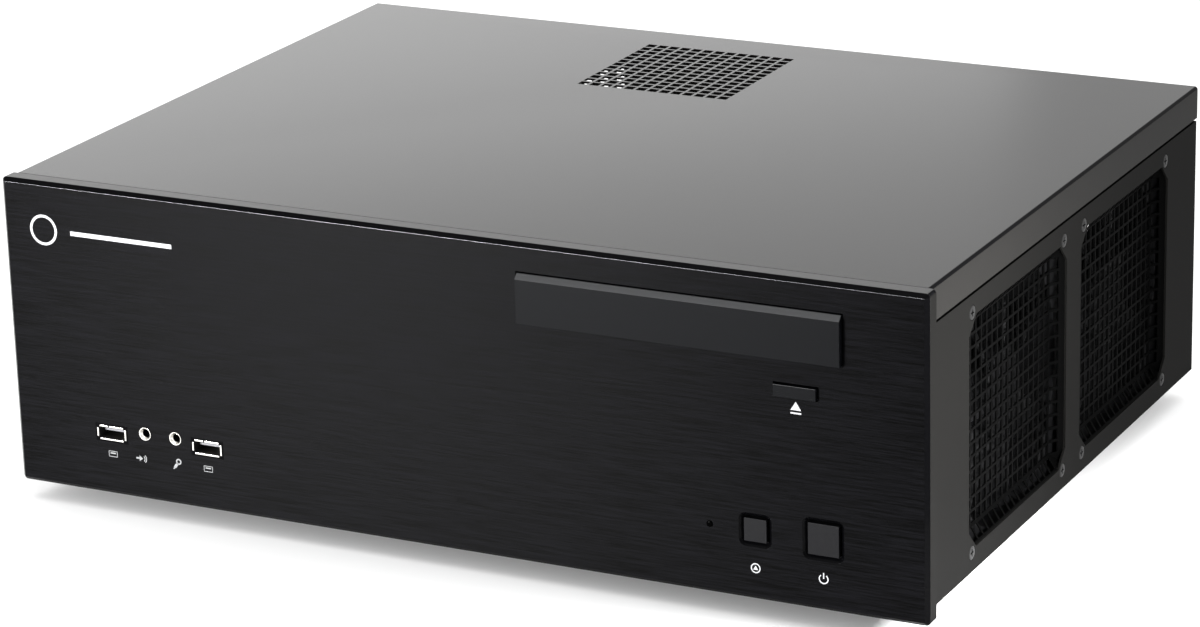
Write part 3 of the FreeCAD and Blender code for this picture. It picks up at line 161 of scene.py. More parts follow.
def lathe(start, axis, profile, sides=48):
    """A turned shape: a disc drawn out along an axis through pairs of radius and distance."""
    deselect()
    start, along = Vector(start), AXES[axis]
    radius, distance = profile[0]
    bpy.ops.mesh.primitive_circle_add(vertices=sides, radius=radius, fill_type="NGON",
                                      location=start + along * distance, rotation=AIM[axis])
    piece = settle()
    bpy.ops.object.mode_set(mode="EDIT")
    bpy.ops.mesh.select_all(action="SELECT")
    for wider, further in profile[1:]:
        bpy.ops.mesh.extrude_region_move(TRANSFORM_OT_translate={"value": along * (further - distance)})
        scale = wider / radius
        bpy.ops.transform.resize(value=[1 if part else scale for part in along],
                                 center_override=start + along * further)
        radius, distance = wider, further
    face_outwards()
    return piece


def face_outwards():
    """Turn every face of the piece in edit mode outwards, and leave edit mode."""
    bpy.ops.mesh.select_all(action="SELECT")
    bpy.ops.mesh.normals_make_consistent(inside=False)
    bpy.ops.object.mode_set(mode="OBJECT")


def pick_faces(piece, test):
    """Enter edit mode with only those faces selected whose centre and normal pass a test."""
    use(piece)
    bpy.ops.object.mode_set(mode="EDIT")
    bpy.ops.mesh.select_mode(type="FACE")
    bpy.ops.mesh.select_all(action="DESELECT")
    mesh = bmesh.from_edit_mesh(piece.data)
    for face in mesh.faces:
        face.select_set(test(face.calc_center_median(), face.normal))
    bmesh.update_edit_mesh(piece.data)


def pick_edges(piece, test):
    """Enter edit mode with only those edges selected whose run from end to end passes a test."""
    use(piece)
    bpy.ops.object.mode_set(mode="EDIT")
    bpy.ops.mesh.select_mode(type="EDGE")
    bpy.ops.mesh.select_all(action="DESELECT")
    mesh = bmesh.from_edit_mesh(piece.data)
    for edge in mesh.edges:
        edge.select_set(test(edge.verts[1].co - edge.verts[0].co))
    bmesh.update_edit_mesh(piece.data)


def pick_points(piece, test):
    """In edit mode, select only the points that pass a test of their place."""
    bpy.ops.mesh.select_all(action="DESELECT")
    mesh = bmesh.from_edit_mesh(piece.data)
    for point in mesh.verts:
        point.select_set(test(point.co))
    mesh.select_flush_mode()
    bmesh.update_edit_mesh(piece.data)


def copied(piece, matrix):
    """A copy with a mesh of its own, moved by a matrix."""
    twin = piece.copy()
    twin.data = piece.data.copy()
    twin.data.transform(matrix)
    bpy.context.scene.collection.objects.link(twin)
    return twin


def moved(*offset):
    """A shift by three distances."""
    return Matrix.Translation(offset)


def joined(name, pieces):
    """Several pieces as one object."""
    use(pieces[0])
    for piece in pieces[1:]:
        piece.select_set(True)
    bpy.ops.object.join()
    pieces[0].name = name
    pieces[0].data.name = name
    return pieces[0]


def cut(piece, *tools):
    """Take other pieces' shapes out of a piece."""
    for tool in tools:
        modifier = piece.modifiers.new("cut", "BOOLEAN")
        modifier.operation = "DIFFERENCE"
        modifier.object = tool
        use(piece)
        bpy.ops.object.modifier_apply(modifier=modifier.name)
        bpy.data.objects.remove(tool)
    return piece


def round_edges(piece, width, segments=2):
    """Round every sharp edge, width in metres, and shade the piece smooth."""
    use(piece)
    bpy.ops.object.shade_smooth()
    modifier = piece.modifiers.new("edges", "BEVEL")
    modifier.width = width
    modifier.segments = segments
    modifier.limit_method = "ANGLE"
    modifier.angle_limit = SHARP
    modifier.harden_normals = True
    bpy.ops.object.modifier_apply(modifier=modifier.name)
    return piece


def softened(node, width, segments=2, tools=()):
    """A merged copy of a node, cut by tools and with its sharp edges rounded, which stands for the node."""
    piece = bpy.data.objects.new(f"finished_{node}", NODES[node].data.copy())
    bpy.context.scene.collection.objects.link(piece)
    use(piece)
    bpy.ops.mesh.customdata_custom_splitnormals_clear()
    bpy.ops.object.mode_set(mode="EDIT")
    bpy.ops.mesh.select_all(action="SELECT")
    bpy.ops.mesh.remove_doubles(threshold=SAME_PLACE)
    bpy.ops.mesh.dissolve_limited(angle_limit=FLAT)
    bpy.ops.object.mode_set(mode="OBJECT")
    return stand_for(round_edges(cut(piece, *tools), width, segments), node)


def slope_tool(node, size):
    """A block that cuts a slope of 45 degrees, size deep and high, along a node's upper front edge."""
    low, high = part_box(node)
    tool = block((low.x - 1 * MM, -3 * size, 0), (high.x + 1 * MM, 3 * size, 3 * size))
    turn = Matrix.Rotation(radians(45), 4, "X")
    tool.data.transform(moved(0, low.y + size / 2, high.z - size / 2) @ turn)
    return tool


def stand_for(piece, node):
    """Let a piece stand for a node, on the node's body."""
    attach(piece, BODIES[node])
    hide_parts(node)
    return piece


def paint(piece, finish, *others):
    """Give a piece its finish; each other pair is a finish and a test of a face's centre and normal."""
    piece.data.materials.clear()
    piece.data.materials.append(FINISHES[finish])
    for number, (name, test) in enumerate(others, start=1):
        piece.data.materials.append(FINISHES[name])
        for face in piece.data.polygons:
            if test(face.center, face.normal):
                face.material_index = number
    return piece


# Materials

class Finish:
    """A node material: a shader with helpers that add patterns on Object coordinates."""

    def __init__(self, name, color, roughness, metallic=0.0, **sockets):
        self.material = bpy.data.materials.new(name)
        self.material.use_nodes = True
        self.tree = self.material.node_tree
        self.shader = self.tree.nodes["Principled BSDF"]
        self.color = color
        self.roughness = roughness
        self.shader.inputs["Base Color"].default_value = (*color, 1)
        self.shader.inputs["Roughness"].default_value = roughness
        self.shader.inputs["Metallic"].default_value = metallic
        for socket, number in sockets.items():
            self.shader.inputs[socket.replace("_", " ")].default_value = number
        self.place = self.tree.nodes.new("ShaderNodeTexCoord").outputs["Object"]

    def join(self, source, target):
        """Lead one node's output into another's input."""
        self.tree.links.new(source, target)

    def mapped(self, scale):
        """Object coordinates in millimetres, stretched by a scale."""
        node = self.tree.nodes.new("ShaderNodeMapping")
        node.inputs["Scale"].default_value = [part / MM for part in scale]
        self.join(self.place, node.inputs["Vector"])
        return node.outputs["Vector"]

    def noise(self, scale, detail=3.0, roughness=0.55):
        """Noise whose features are about 1 / scale millimetres."""
        node = self.tree.nodes.new("ShaderNodeTexNoise")
        node.inputs["Scale"].default_value = 1
        node.inputs["Detail"].default_value = detail
        node.inputs["Roughness"].default_value = roughness
        self.join(self.mapped(scale), node.inputs["Vector"])
        return node.outputs["Fac"]

    def between(self, factor, low, high, reach=0.2):
        """A noise factor spread over a range; a short reach makes its steps sharper."""
        node = self.tree.nodes.new("ShaderNodeMapRange")
        node.inputs["From Min"].default_value = 0.5 - reach
        node.inputs["From Max"].default_value = 0.5 + reach
        node.inputs["To Min"].default_value = low
        node.inputs["To Max"].default_value = high
        self.join(factor, node.inputs["Value"])
        return node.outputs["Result"]

    def vary_color(self, factor, low, high, reach=0.2):
        """The base colour from a multiple low to a multiple high."""
        node = self.tree.nodes.new("ShaderNodeMix")
        node.data_type = "RGBA"
        node.inputs["A"].default_value = [*(part * low for part in self.color), 1]
        node.inputs["B"].default_value = [*(part * high for part in self.color), 1]
        self.join(self.between(factor, 0, 1, reach), node.inputs["Factor"])
        self.join(node.outputs["Result"], self.shader.inputs["Base Color"])

    def vary_roughness(self, factor, spread):
        """The roughness from a spread below its own value to a spread above it."""
        low, high = self.roughness - spread, self.roughness + spread
        self.join(self.between(factor, low, high), self.shader.inputs["Roughness"])

    def bump(self, height, distance):
        """Relief of a height field, distance in millimetres; gives the finished material."""
        node = self.tree.nodes.new("ShaderNodeBump")
        node.inputs["Distance"].default_value = distance * MM
        node.inputs["Strength"].default_value = 1.0
        self.join(height, node.inputs["Height"])
        self.join(node.outputs["Normal"], self.shader.inputs["Normal"])
        return self.material


def powder_coat(name, color, roughness, **sockets):
    """Baked paint with a fine orange peel and faint handling marks."""
    finish = Finish(name, color, roughness, **sockets)
    peel = finish.noise((1.6, 1.6, 1.6), 2)
    finish.vary_roughness(peel, 0.015)
    finish.vary_color(peel, 0.9, 1.1)
    return finish.bump(peel, 0.01)


def brushed(name, color, roughness, along, metallic=0.85, relief=0.012, contrast=0.28, sheen=0.06,
            **sockets):
    """Metal with grinding lines along one axis, which change its colour, sheen and relief together."""
    finish = Finish(name, color, roughness, metallic, **sockets)
    lines = finish.noise([0.03 if axis == along else 1.0 for axis in "xyz"], 5, 0.8)
    finish.vary_roughness(lines, sheen)
    finish.vary_color(lines, 1 - contrast, 1 + contrast, 0.1)
    return finish.bump(lines, relief)


def moulded(name, color, roughness, grain=1.6, relief=0.02, **sockets):
    """Moulded plastic with a spark-eroded grain."""
    finish = Finish(name, color, roughness, **sockets)
    texture = finish.noise((grain, grain, grain), 4)
    finish.vary_roughness(texture, 0.05)
    finish.vary_color(finish.noise((0.05, 0.05, 0.05)), 0.92, 1.08)
    return finish.bump(texture, relief)


def plated(name, color, roughness):
    """Plated metal with soft clouds in its sheen."""
    finish = Finish(name, color, roughness, 1.0)
    finish.vary_roughness(finish.noise((0.4, 0.4, 0.4)), 0.06)
    finish.vary_color(finish.noise((0.15, 0.15, 0.15)), 0.88, 1.06)
    return finish.bump(finish.noise((3, 3, 3), 2), 0.006)


def circuit_board(name, color, copper):
    """Solder mask over copper tracks, sizes in millimetres."""
    finish = Finish(name, color, 0.35, Coat_Weight=0.3)
    tracks = finish.tree.nodes.new("ShaderNodeTexBrick")
    settings = {"Scale": 1, "Mortar Size": 0.12, "Brick Width": 7, "Row Height": 1.1, "Color1": (*color, 1),
                "Color2": (*(part * 1.25 for part in color), 1), "Mortar": (*copper, 1)}
    for socket, setting in settings.items():
        tracks.inputs[socket].default_value = setting
    finish.join(finish.mapped((1, 1, 1)), tracks.inputs["Vector"])
    finish.join(tracks.outputs["Color"], finish.shader.inputs["Base Color"])
    return finish.bump(tracks.outputs["Fac"], 0.03)


def make_finishes():
    """Every finish of the case, by name."""
    return {
        # Front panel
        "front": brushed("brushed_front", (0.0011, 0.0011, 0.0014), 0.42, "x", metallic=0.0, relief=0.06,
                         contrast=1.0, sheen=0.08, Specular_IOR_Level=0.0155, Anisotropic=0.8,
                         Anisotropic_Rotation=0.25),
        # The panel's top face: the same dark aluminium painted lighter and glossier, a painted reflection of
        # the bright room above.
        "front_top": brushed("front_top_painted_light", (0.02, 0.0195, 0.019), 0.32, "x", metallic=0.0, relief=0.004,
                             contrast=0.2, Specular_IOR_Level=0.45),
        # Near-black gloss: the front's own polished slopes, and also painted shade on the lid's bends and
        # round the data sockets.
        "slope": moulded("polished_slope_and_painted_shade", (0.001, 0.001, 0.0012), 0.2, grain=0.5, relief=0.001,
                         Specular_IOR_Level=0.02),
        # A painted highlight: a bright metal line on the small rounding at the panel's upper front edge,
        # standing in for the glint of light there.
        "painted_highlight_line": brushed("front_painted_highlight_line", (0.16, 0.16, 0.17), 0.35, "x", metallic=0.7, relief=0.003,
                            contrast=0.1),
        "drive": brushed("drive_cover_finish", (0.0013, 0.00145, 0.0019), 0.5, "x", metallic=0.0,
                         relief=0.003, contrast=0.12, sheen=0.02, Specular_IOR_Level=0.032),
        # The drive cover's finish painted lighter where its sloping edges face up: a painted highlight.
        "drive_slope_painted_light": brushed("drive_cover_slope_painted_light", (0.011, 0.0115, 0.0125), 0.5, "x", metallic=0.0,
                               relief=0.003, contrast=0.12, sheen=0.02),
        "key": moulded("key_plastic", (0.0018, 0.0018, 0.0024), 0.4, grain=0.8, relief=0.004,
                       Specular_IOR_Level=0.08),
        # Near black and almost without reflection: a smoked lens, painted as the shade of the LED's hole.
        "lens": moulded("lens_in_painted_shade", (0.0003, 0.0003, 0.0003), 0.2, grain=0.5, relief=0.001,
                        Specular_IOR_Level=0.005),
        # Front print: white ink painted grey against the strong front lamps; the signs by the sockets are
        # painted darker still, where the left lamp falls strongest, as painted shade.
        "front_print": moulded("front_print", (0.25, 0.253, 0.26), 0.55, grain=2.0, relief=0.003),
        "print_with_painted_shade": moulded("print_with_painted_shade", (0.115, 0.117, 0.12), 0.55, grain=2.0, relief=0.003),
        "print": moulded("white_print", (0.72, 0.73, 0.75), 0.55, grain=2.0, relief=0.003),
        # Painted sheets
        # One black powder coat in three tones set by how light falls: the lid's top painted lighter, its
        # skirts and the side panels painted darker as shade.
        "cover": powder_coat("painted_lit_cover", (0.012, 0.0117, 0.0113), 0.22, Specular_IOR_Level=0.335),
        "skirt": powder_coat("painted_shaded_skirt", (0.0072, 0.0069, 0.0065), 0.42, Specular_IOR_Level=0.03),
        "side": powder_coat("painted_shaded_side", (0.004, 0.0039, 0.0037), 0.48, Specular_IOR_Level=0.008),
        "rear": powder_coat("rear_paint", (0.013, 0.0128, 0.0125), 0.45, Specular_IOR_Level=0.2),
        "mesh": powder_coat("grille_paint", (0.0008, 0.0008, 0.0008), 0.5, Specular_IOR_Level=0.006),
        # Near black painted shade for hollows: the grilles' recess and hole walls, and the drive housing's
        # mouth and upper faces.
        "recess": powder_coat("painted_recess_shade", (0.001, 0.001, 0.001), 0.6, Specular_IOR_Level=0.01),
        "supply": powder_coat("supply_paint", (0.025, 0.025, 0.026), 0.5),
        # Bare and plated metal
        "zinc": plated("zinc_plate", (0.6, 0.61, 0.63), 0.38),
        "shield": brushed("shield_steel", (0.3, 0.305, 0.315), 0.38, "x", metallic=0.9, relief=0.006,
                          contrast=0.12),
        "steel": brushed("drawn_steel", (0.5, 0.51, 0.53), 0.35, "y"),
        "fins": brushed("fin_aluminium", (0.72, 0.73, 0.75), 0.3, "y"),
        "casting": moulded("disk_casting", (0.3, 0.31, 0.32), 0.45, grain=1.2, Metallic=0.9),
        "nickel": plated("nickel", (0.78, 0.76, 0.72), 0.2),
        "gold": plated("contact_gold", (0.85, 0.6, 0.22), 0.25),
        "brass": plated("turned_brass", (0.7, 0.52, 0.22), 0.3),
        "wire": plated("guard_wire", (0.6, 0.6, 0.62), 0.2),
        "sleeve": plated("capacitor_can", (0.55, 0.55, 0.57), 0.3),
        "bright_screw": plated("bright_screw", (0.32, 0.32, 0.33), 0.32),
        "dark_screw": powder_coat("dark_screw", (0.006, 0.006, 0.006), 0.4, Specular_IOR_Level=0.08),
        # Plastic, rubber and boards
        "tray": moulded("tray_plastic", (0.02, 0.02, 0.021), 0.5),
        "foot": moulded("foot_plastic", (0.02, 0.02, 0.021), 0.4),
        "rubber": moulded("pad_rubber", (0.012, 0.012, 0.012), 0.8, grain=0.9, relief=0.05),
        "fan": moulded("fan_plastic", (0.003, 0.003, 0.0032), 0.42, Specular_IOR_Level=0.04),
        "inlet": moulded("inlet_plastic", (0.012, 0.012, 0.012), 0.4),
        "socket": moulded("socket_plastic", (0.012, 0.012, 0.014), 0.45),
        # Dark painted shade for the insides of sockets, shells and bores.
        "painted_socket_shade": moulded("painted_socket_shade", (0.006, 0.006, 0.006), 0.5),
        "tongue": moulded("tongue_plastic", (0.09, 0.09, 0.1), 0.4),
        "blue": moulded("blue_ring", (0.05, 0.2, 0.45), 0.4),
        "green": moulded("green_ring", (0.1, 0.38, 0.08), 0.4),
        "pink": moulded("pink_ring", (0.55, 0.17, 0.22), 0.4),
        "board": circuit_board("board_mask", (0.006, 0.035, 0.016), (0.02, 0.075, 0.03)),
        "memory": circuit_board("memory_mask", (0.01, 0.02, 0.05), (0.03, 0.05, 0.09)),
    }


NODE_FINISHES = {
    # The front subframe takes the rear's black paint, which also darkens the gap round the drive as painted
    # shade.
    "rear": ["front_subframe"],
    "zinc": ["cross_brace", "drive_bracket", "hard_drive_tray"],
    "steel": ["processor"],
    "casting": ["hard_drive"],
    "fins": ["processor_heatsink", "chipset_heatsink"],
    "bright_screw": ["foot_screws"],
    "board": ["motherboard", "front_switch_board", "front_socket_board"],
    "memory": ["memory_modules"],
    "socket": ["board_sockets", "front_switches"],
    "brass": ["board_standoffs"],
    "tongue": ["usb_tongues"],
    "wire": ["supply_fan_guard"],
    "sleeve": ["capacitors"],
}


def paint_nodes():
    """Give the nodes that show as they are their finish."""
    for finish, names in NODE_FINISHES.items():
        for name in names:
            data = NODES[name].data
            data.materials.clear()
            data.materials.append(FINISHES[finish])


# Case

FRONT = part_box("front_panel")[0].y
SIDE_FANS = ("right_front", "right_rear", "left")
SQUARE_KEYS = ("power_button", "reset_button")


def middle_of(node):
    """The middle of a node's box."""
    low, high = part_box(node)
    return (low + high) / 2


def near(node, centre, reach):
    """Whether a point lies within a reach of a node's box, seen from the front."""
    low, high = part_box(node)
    return low.x - reach < centre.x < high.x + reach and low.z - reach < centre.z < high.z + reach


def front_panel():
    """The brushed panel: polished slopes round its border and its keys, a painted highlight line along its
    top, a top face painted lighter as a painted reflection, and ends painted darker as shade.
    """
    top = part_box("front_panel")[1].z
    border, key_border, line_height = 2 * MM, 2.4 * MM, 3 * MM

    def on_slope(centre, normal):
        sloping = centre.y < FRONT + border and -0.99 < normal.y < -0.2
        behind = centre.y > FRONT + 0.05 * MM
        return sloping or behind and any(near(key, centre, key_border) for key in SQUARE_KEYS)

    # Faces of the painted highlight line: the small rounding between the front face and the top slope.
    def on_painted_highlight_line(centre, normal):
        return centre.z > top - line_height and centre.y < FRONT + 0.1 * MM and -0.995 < normal.y < -0.75

    # Besides its own brushed and polished finishes, the panel gets a top face painted lighter as a painted
    # reflection, and ends in the side panels' darker paint as painted shade.
    paint(softened("front_panel", 0.15 * MM), "front", ("slope", on_slope), ("painted_highlight_line", on_painted_highlight_line),
          ("front_top", lambda centre, normal: normal.z > 0.9),
          ("side", lambda centre, normal: abs(normal.x) > 0.9))


def sheet_metal():
    """The painted sheets of the case with their rolled and punched edges. One black paint comes in lit and
    shaded copies: lighter and glossier on the lid's top, darker on the lid's skirts, darkest on the side
    panels and base.
    """
    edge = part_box("top_cover")[1].z - 3 * MM
    # The lid: its top in the lit copy of the paint, its upright faces in the shaded copy.
    paint(softened("top_cover", 0.18 * MM), "cover",
          ("skirt", lambda centre, normal: abs(normal.x) > 0.9 or abs(normal.y) > 0.9),
          # The lid's bends in the near-black slope finish: a painted dark line standing for shade.
          ("slope", lambda centre, normal: centre.z > edge and 0.3 < abs(normal.x) <= 0.95))
    # Side panels and base: the darkest, shaded copy of the same paint.
    for node in ("right_side_panel", "left_side_panel", "base_pan"):
        paint(softened(node, 0.2 * MM), "side")
    for node in ("rear_panel", "slot_covers"):
        paint(softened(node, 0.25 * MM), "rear")
    for name in SIDE_FANS:
        # The grille's recess walls and hole walls are painted near black as shade.
        paint(softened(f"{name}_grille", 0.12 * MM, 1), "mesh",
              ("recess", lambda centre, normal: abs(normal.x) < 0.8))
    paint(softened("rear_port_shield", 0.08 * MM, 1), "shield")


def feet():
    """Turned feet with a groove at half height, and rubber rings under them."""
    low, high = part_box("feet")
    radius, groove = 19 * MM, 1.2 * MM
    height = high.z - low.z
    profile = [(radius - 1.5 * MM, 0), (radius - 0.4 * MM, 0.4 * MM), (radius, 1.5 * MM),
               (radius, height * 0.45), (radius - groove, height * 0.5), (radius - groove, height * 0.6),
               (radius, height * 0.65), (radius, height)]
    made = [lathe((x, y, low.z), "z", profile)
            for x in (low.x + radius, high.x - radius) for y in (low.y + radius, high.y - radius)]
    foot = joined("turned_feet", made)
    paint(round_edges(stand_for(foot, "feet"), 0.25 * MM), "foot")
    paint(softened("foot_pads", 0.5 * MM, 3), "rubber")


# Front: keys, drive, sockets and printed marks

def keys():
    """The two square keys with rounded edges."""
    for node in SQUARE_KEYS:
        paint(softened(node, 0.3 * MM, 3), "key")


def optical_drive():
    """The eject key and the drive cover with sloping upper edges, painted lighter as a painted highlight; the
    disc tray; and the drive's housing with its mouth and upper faces painted near black as shade.
    """
    # The upward-facing slopes take the lighter copy of the drive finish, a painted highlight.
    for node, size in (("eject_button", 0.9 * MM), ("drive_cover", 2.2 * MM)):
        paint(softened(node, 0.2 * MM, tools=[slope_tool(node, size)]), "drive",
              ("drive_slope_painted_light", lambda centre, normal: normal.y < -0.1 and normal.z > 0.3))
    paint(softened("disc_tray", 0.3 * MM), "tray")
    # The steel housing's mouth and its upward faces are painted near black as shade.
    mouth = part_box("optical_drive_housing")[0].y + 12 * MM
    paint(softened("optical_drive_housing", 0.2 * MM), "steel",
          ("recess", lambda centre, normal: centre.y < mouth or normal.z > 0.9))


def status_lens():
    """A domed lens of smoked plastic, painted near black with almost no reflection as the shade of the LED's
    dark hole.
    """
    low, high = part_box("status_led")
    x, z = (low.x + high.x) / 2, (low.z + high.z) / 2
    radius = 1.4 * MM
    profile = [(radius, high.y - low.y), (radius, 0.5 * MM), (radius * 0.92, 0.22 * MM),
               (radius * 0.7, 0.08 * MM), (radius * 0.35, 0.01 * MM)]
    lens = lathe((x, low.y, z), "y", profile)
    lens.name = "status_lens"
    paint(round_edges(stand_for(lens, "status_led"), 0.02 * MM), "lens")


USB_WIDTH = 15 * MM
PRINT = 0.04 * MM  # how far a mark stands proud of its surface


def usb_shell(low, high):
    """A folded socket shell with round corners, a deep mouth and flared lips at its rim."""
    wall, depth = 0.4 * MM, 12 * MM
    shell = block((low.x + wall, low.y + wall, low.z + wall), (high.x - wall, high.y, high.z - wall))
    pick_edges(shell, lambda run: abs(run.y) > 0.9 * run.length)
    bpy.ops.mesh.bevel(offset=0.8 * MM, segments=4)
    bpy.ops.object.mode_set(mode="OBJECT")
    pick_faces(shell, lambda centre, normal: normal.y < -0.9)
    bpy.ops.mesh.inset(thickness=0.45 * MM)
    bpy.ops.mesh.extrude_region_move(TRANSFORM_OT_translate={"value": (0, depth, 0)})
    bpy.ops.object.mode_set(mode="OBJECT")
    lip, corner, side_corner = 0.75 * MM, 1.4 * MM, 0.9 * MM
    seam, seam_gap = low.x + 5.6 * MM, 0.7 * MM
    lips = [((low.x + corner, high.z - lip), (seam, high.z)),
            ((seam + seam_gap, high.z - lip), (high.x - corner, high.z)),
            ((low.x + corner, low.z), (high.x - corner, low.z + lip)),
            ((low.x, low.z + corner), (low.x + lip, high.z - corner)),
            ((high.x - lip, low.z + side_corner), (high.x, high.z - side_corner))]
    flared = [block((left, low.y, bottom), (right, low.y + 0.5 * MM, top))
              for (left, bottom), (right, top) in lips]
    return joined("socket_shell", [shell, *flared])


def usb_sockets():
    """Two data sockets with bright rims; the rest of each metal shell, its mouth and walls, is painted dark
    as shade.
    """
    low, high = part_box("usb_sockets")
    first = usb_shell(low, Vector((low.x + USB_WIDTH, high.y, high.z)))
    second = copied(first, moved(high.x - USB_WIDTH - low.x, 0, 0))
    shells = joined("socket_shells", [first, second])
    rim = low.y + 0.51 * MM
    lip = rim - 0.2 * MM
    # Only the front lips are bright nickel; the shell behind them is painted dark as shade.
    paint(round_edges(stand_for(shells, "usb_sockets"), 0.1 * MM), "painted_socket_shade",
          ("nickel", lambda centre, normal: centre.y < lip or centre.y < rim and normal.y < -0.1))


def usb_surrounds():
    """Thin black frames round the data sockets, which stand as painted shade for the gaps round the shells.
    """
    low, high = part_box("usb_sockets")
    border = 0.8 * MM
    frames = []
    for left in (low.x, high.x - USB_WIDTH):
        right = left + USB_WIDTH
        mouth = block((left + MM, FRONT - MM, low.z + MM), (right - MM, FRONT + MM, high.z - MM))
        plate = block((left - border, FRONT - PRINT, low.z - border),
                      (right + border, FRONT + 0.1 * MM, high.z + border))
        frames.append(cut(plate, mouth))
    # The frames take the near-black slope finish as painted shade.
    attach(paint(round_edges(joined("socket_surrounds", frames), 0.02 * MM, 1), "slope"), "case")


def usb_contacts():
    """Four gold contacts under the tongue of each data socket."""
    low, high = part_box("usb_tongues")
    tongue_width, first, pitch, width = 11.1 * MM, 1.6 * MM, 2.2 * MM, 1.2 * MM
    strips = []
    for left in (low.x, high.x - tongue_width):
        for k in range(4):
            x = left + first + pitch * k
            strips.append(block((x, low.y + 0.3 * MM, low.z - 0.15 * MM),
                                (x + width, high.y, low.z + 0.1 * MM)))
    contacts = joined("socket_contacts", strips)
    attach(paint(round_edges(contacts, 0.05 * MM, 1), "gold"), "case")


def audio_sockets():
    """Two round sockets, each with a dished bright ring; the rest of each socket is painted dark as shade."""
    low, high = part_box("audio_jacks")
    half_width = 4 * MM
    dish = [(2.85 * MM, -0.2 * MM), (2.7 * MM, 0), (1.85 * MM, 1.2 * MM)]
    dishes = [lathe((x, low.y, high.z - half_width), "y", dish)
              for x in (low.x + half_width, high.x - half_width)]
    # The dish faces are nickel; the body and bore behind them are painted dark as shade.
    paint(softened("audio_jacks", 0.05 * MM, 1, dishes), "painted_socket_shade",
          ("nickel", lambda centre, normal: centre.y < low.y + 1.15 * MM))


def printed(shape, turn, x, z):
    """A flat mark drawn on the XY plane, given thickness, turned, and laid on the front panel."""
    use(shape)
    bpy.ops.object.mode_set(mode="EDIT")
    bpy.ops.mesh.select_all(action="SELECT")
    bpy.ops.mesh.extrude_region_move(TRANSFORM_OT_translate={"value": (0, 0, 2 * PRINT)})
    face_outwards()
    on_panel = Matrix.Rotation(radians(90), 4, "X") @ Matrix.Rotation(radians(turn), 4, "Z")
    shape.data.transform(moved(x, FRONT + PRINT, z) @ on_panel)
    return shape


def bar(x, z, width, height, turn=0):
    """A straight bar. A mark's place is in metres, and its sizes are in millimetres."""
    deselect()
    bpy.ops.mesh.primitive_plane_add(size=1)
    shape = bpy.context.object
    shape.data.transform(Matrix.Diagonal((width * MM, height * MM, 1, 1)))
    return printed(shape, turn, x, z)


def triangle(x, z, width, height, turn=0):
    """A triangle that points up, given by the middle of its box."""
    deselect()
    bpy.ops.mesh.primitive_circle_add(vertices=3, radius=1, fill_type="NGON")
    shape = bpy.context.object
    own_width, own_height, own_middle = 3 ** 0.5, 1.5, 0.25
    size = Matrix.Diagonal((width * MM / own_width, height * MM / own_height, 1, 1))
    shape.data.transform(size @ moved(0, -own_middle, 0))
    return printed(shape, turn, x, z)


def ring(x, z, radius, line, gap=0, turn=90):
    """A ring, or an arc when a gap in degrees is left about the direction of turn."""
    deselect()
    bpy.ops.mesh.primitive_circle_add(vertices=48, radius=radius * MM, fill_type="NGON")
    shape = bpy.context.object
    bpy.ops.object.mode_set(mode="EDIT")
    bpy.ops.mesh.select_mode(type="FACE")
    bpy.ops.mesh.select_all(action="SELECT")
    bpy.ops.mesh.inset(thickness=line * MM)
    bpy.ops.mesh.delete(type="FACE")
    bpy.ops.object.mode_set(mode="OBJECT")
    if gap:
        opening = radians(gap) / 2

        def in_gap(centre, normal):
            away = (atan2(centre.y, centre.x) - radians(turn) + pi) % (2 * pi) - pi
            return abs(away) < opening

        pick_faces(shape, in_gap)
        bpy.ops.mesh.delete(type="FACE")
        bpy.ops.object.mode_set(mode="OBJECT")
    return printed(shape, 0, x, z)


def front_marks():
    """White prints: signs under the keys and sockets, and a plain ring and line in the upper corner. The ink
    is painted grey against the strong front lamps, and darker still on the signs by the sockets, as painted
    shade.
    """
    eject, power, reset = (middle_of(node) for node in ("eject_button", "power_button", "reset_button"))
    under_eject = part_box("eject_button")[0].z
    panel_low, panel_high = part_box("front_panel")
    usb_low, usb_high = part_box("usb_sockets")
    jack_low, jack_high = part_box("audio_jacks")
    key_z, port_z = panel_low.z + 14.1 * MM, usb_low.z - 6.3 * MM
    corner_x, corner_z = panel_low.x + 21 * MM, panel_high.z - 22 * MM
    marks = [triangle(eject.x, under_eject - 2.4 * MM, 4.8, 3.7),
             bar(eject.x, under_eject - 5.5 * MM, 4.8, 0.7),
             ring(reset.x, key_z, 2.2, 0.5), triangle(reset.x, key_z + 0.2 * MM, 2.2, 1.9),
             ring(power.x, key_z, 2.2, 0.5, 70), bar(power.x, key_z + 1.4 * MM, 0.5, 2.6),
             *port_sign(usb_low.x + USB_WIDTH / 2, port_z), *port_sign(usb_high.x - USB_WIDTH / 2, port_z),
             *sound_sign(jack_low.x + 1.5 * MM, port_z), *microphone_sign(jack_high.x - 3.9 * MM, port_z),
             ring(corner_x, corner_z, 7, 1.2), bar(corner_x + 40 * MM, corner_z, 52, 2)]
    # The signs by the sockets take the darker copy of the print, as painted shade.
    signs = ("print_with_painted_shade", lambda centre, normal: centre.x < 0 and centre.z < port_z + 5 * MM)
    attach(paint(joined("front_marks", marks), "front_print", signs), "case")


def port_sign(x, z):
    """A small plug seen end on: a frame with a bar in it."""
    edges = [bar(x, z + 1.25 * MM * side, 4.6, 0.3) for side in (-1, 1)]
    edges += [bar(x + 2.15 * MM * side, z, 0.3, 2.5) for side in (-1, 1)]
    return edges + [bar(x, z + 0.35 * MM, 2.8, 0.6)]


def sound_sign(x, z):
    """An arrow and two arcs."""
    arrow = [bar(x - 2 * MM, z, 1.8, 0.8), triangle(x - 0.3 * MM, z, 2.6, 1.8, -90)]
    return arrow + [ring(x, z, radius, 0.4, 270, 180) for radius in (1.8, 2.6)]


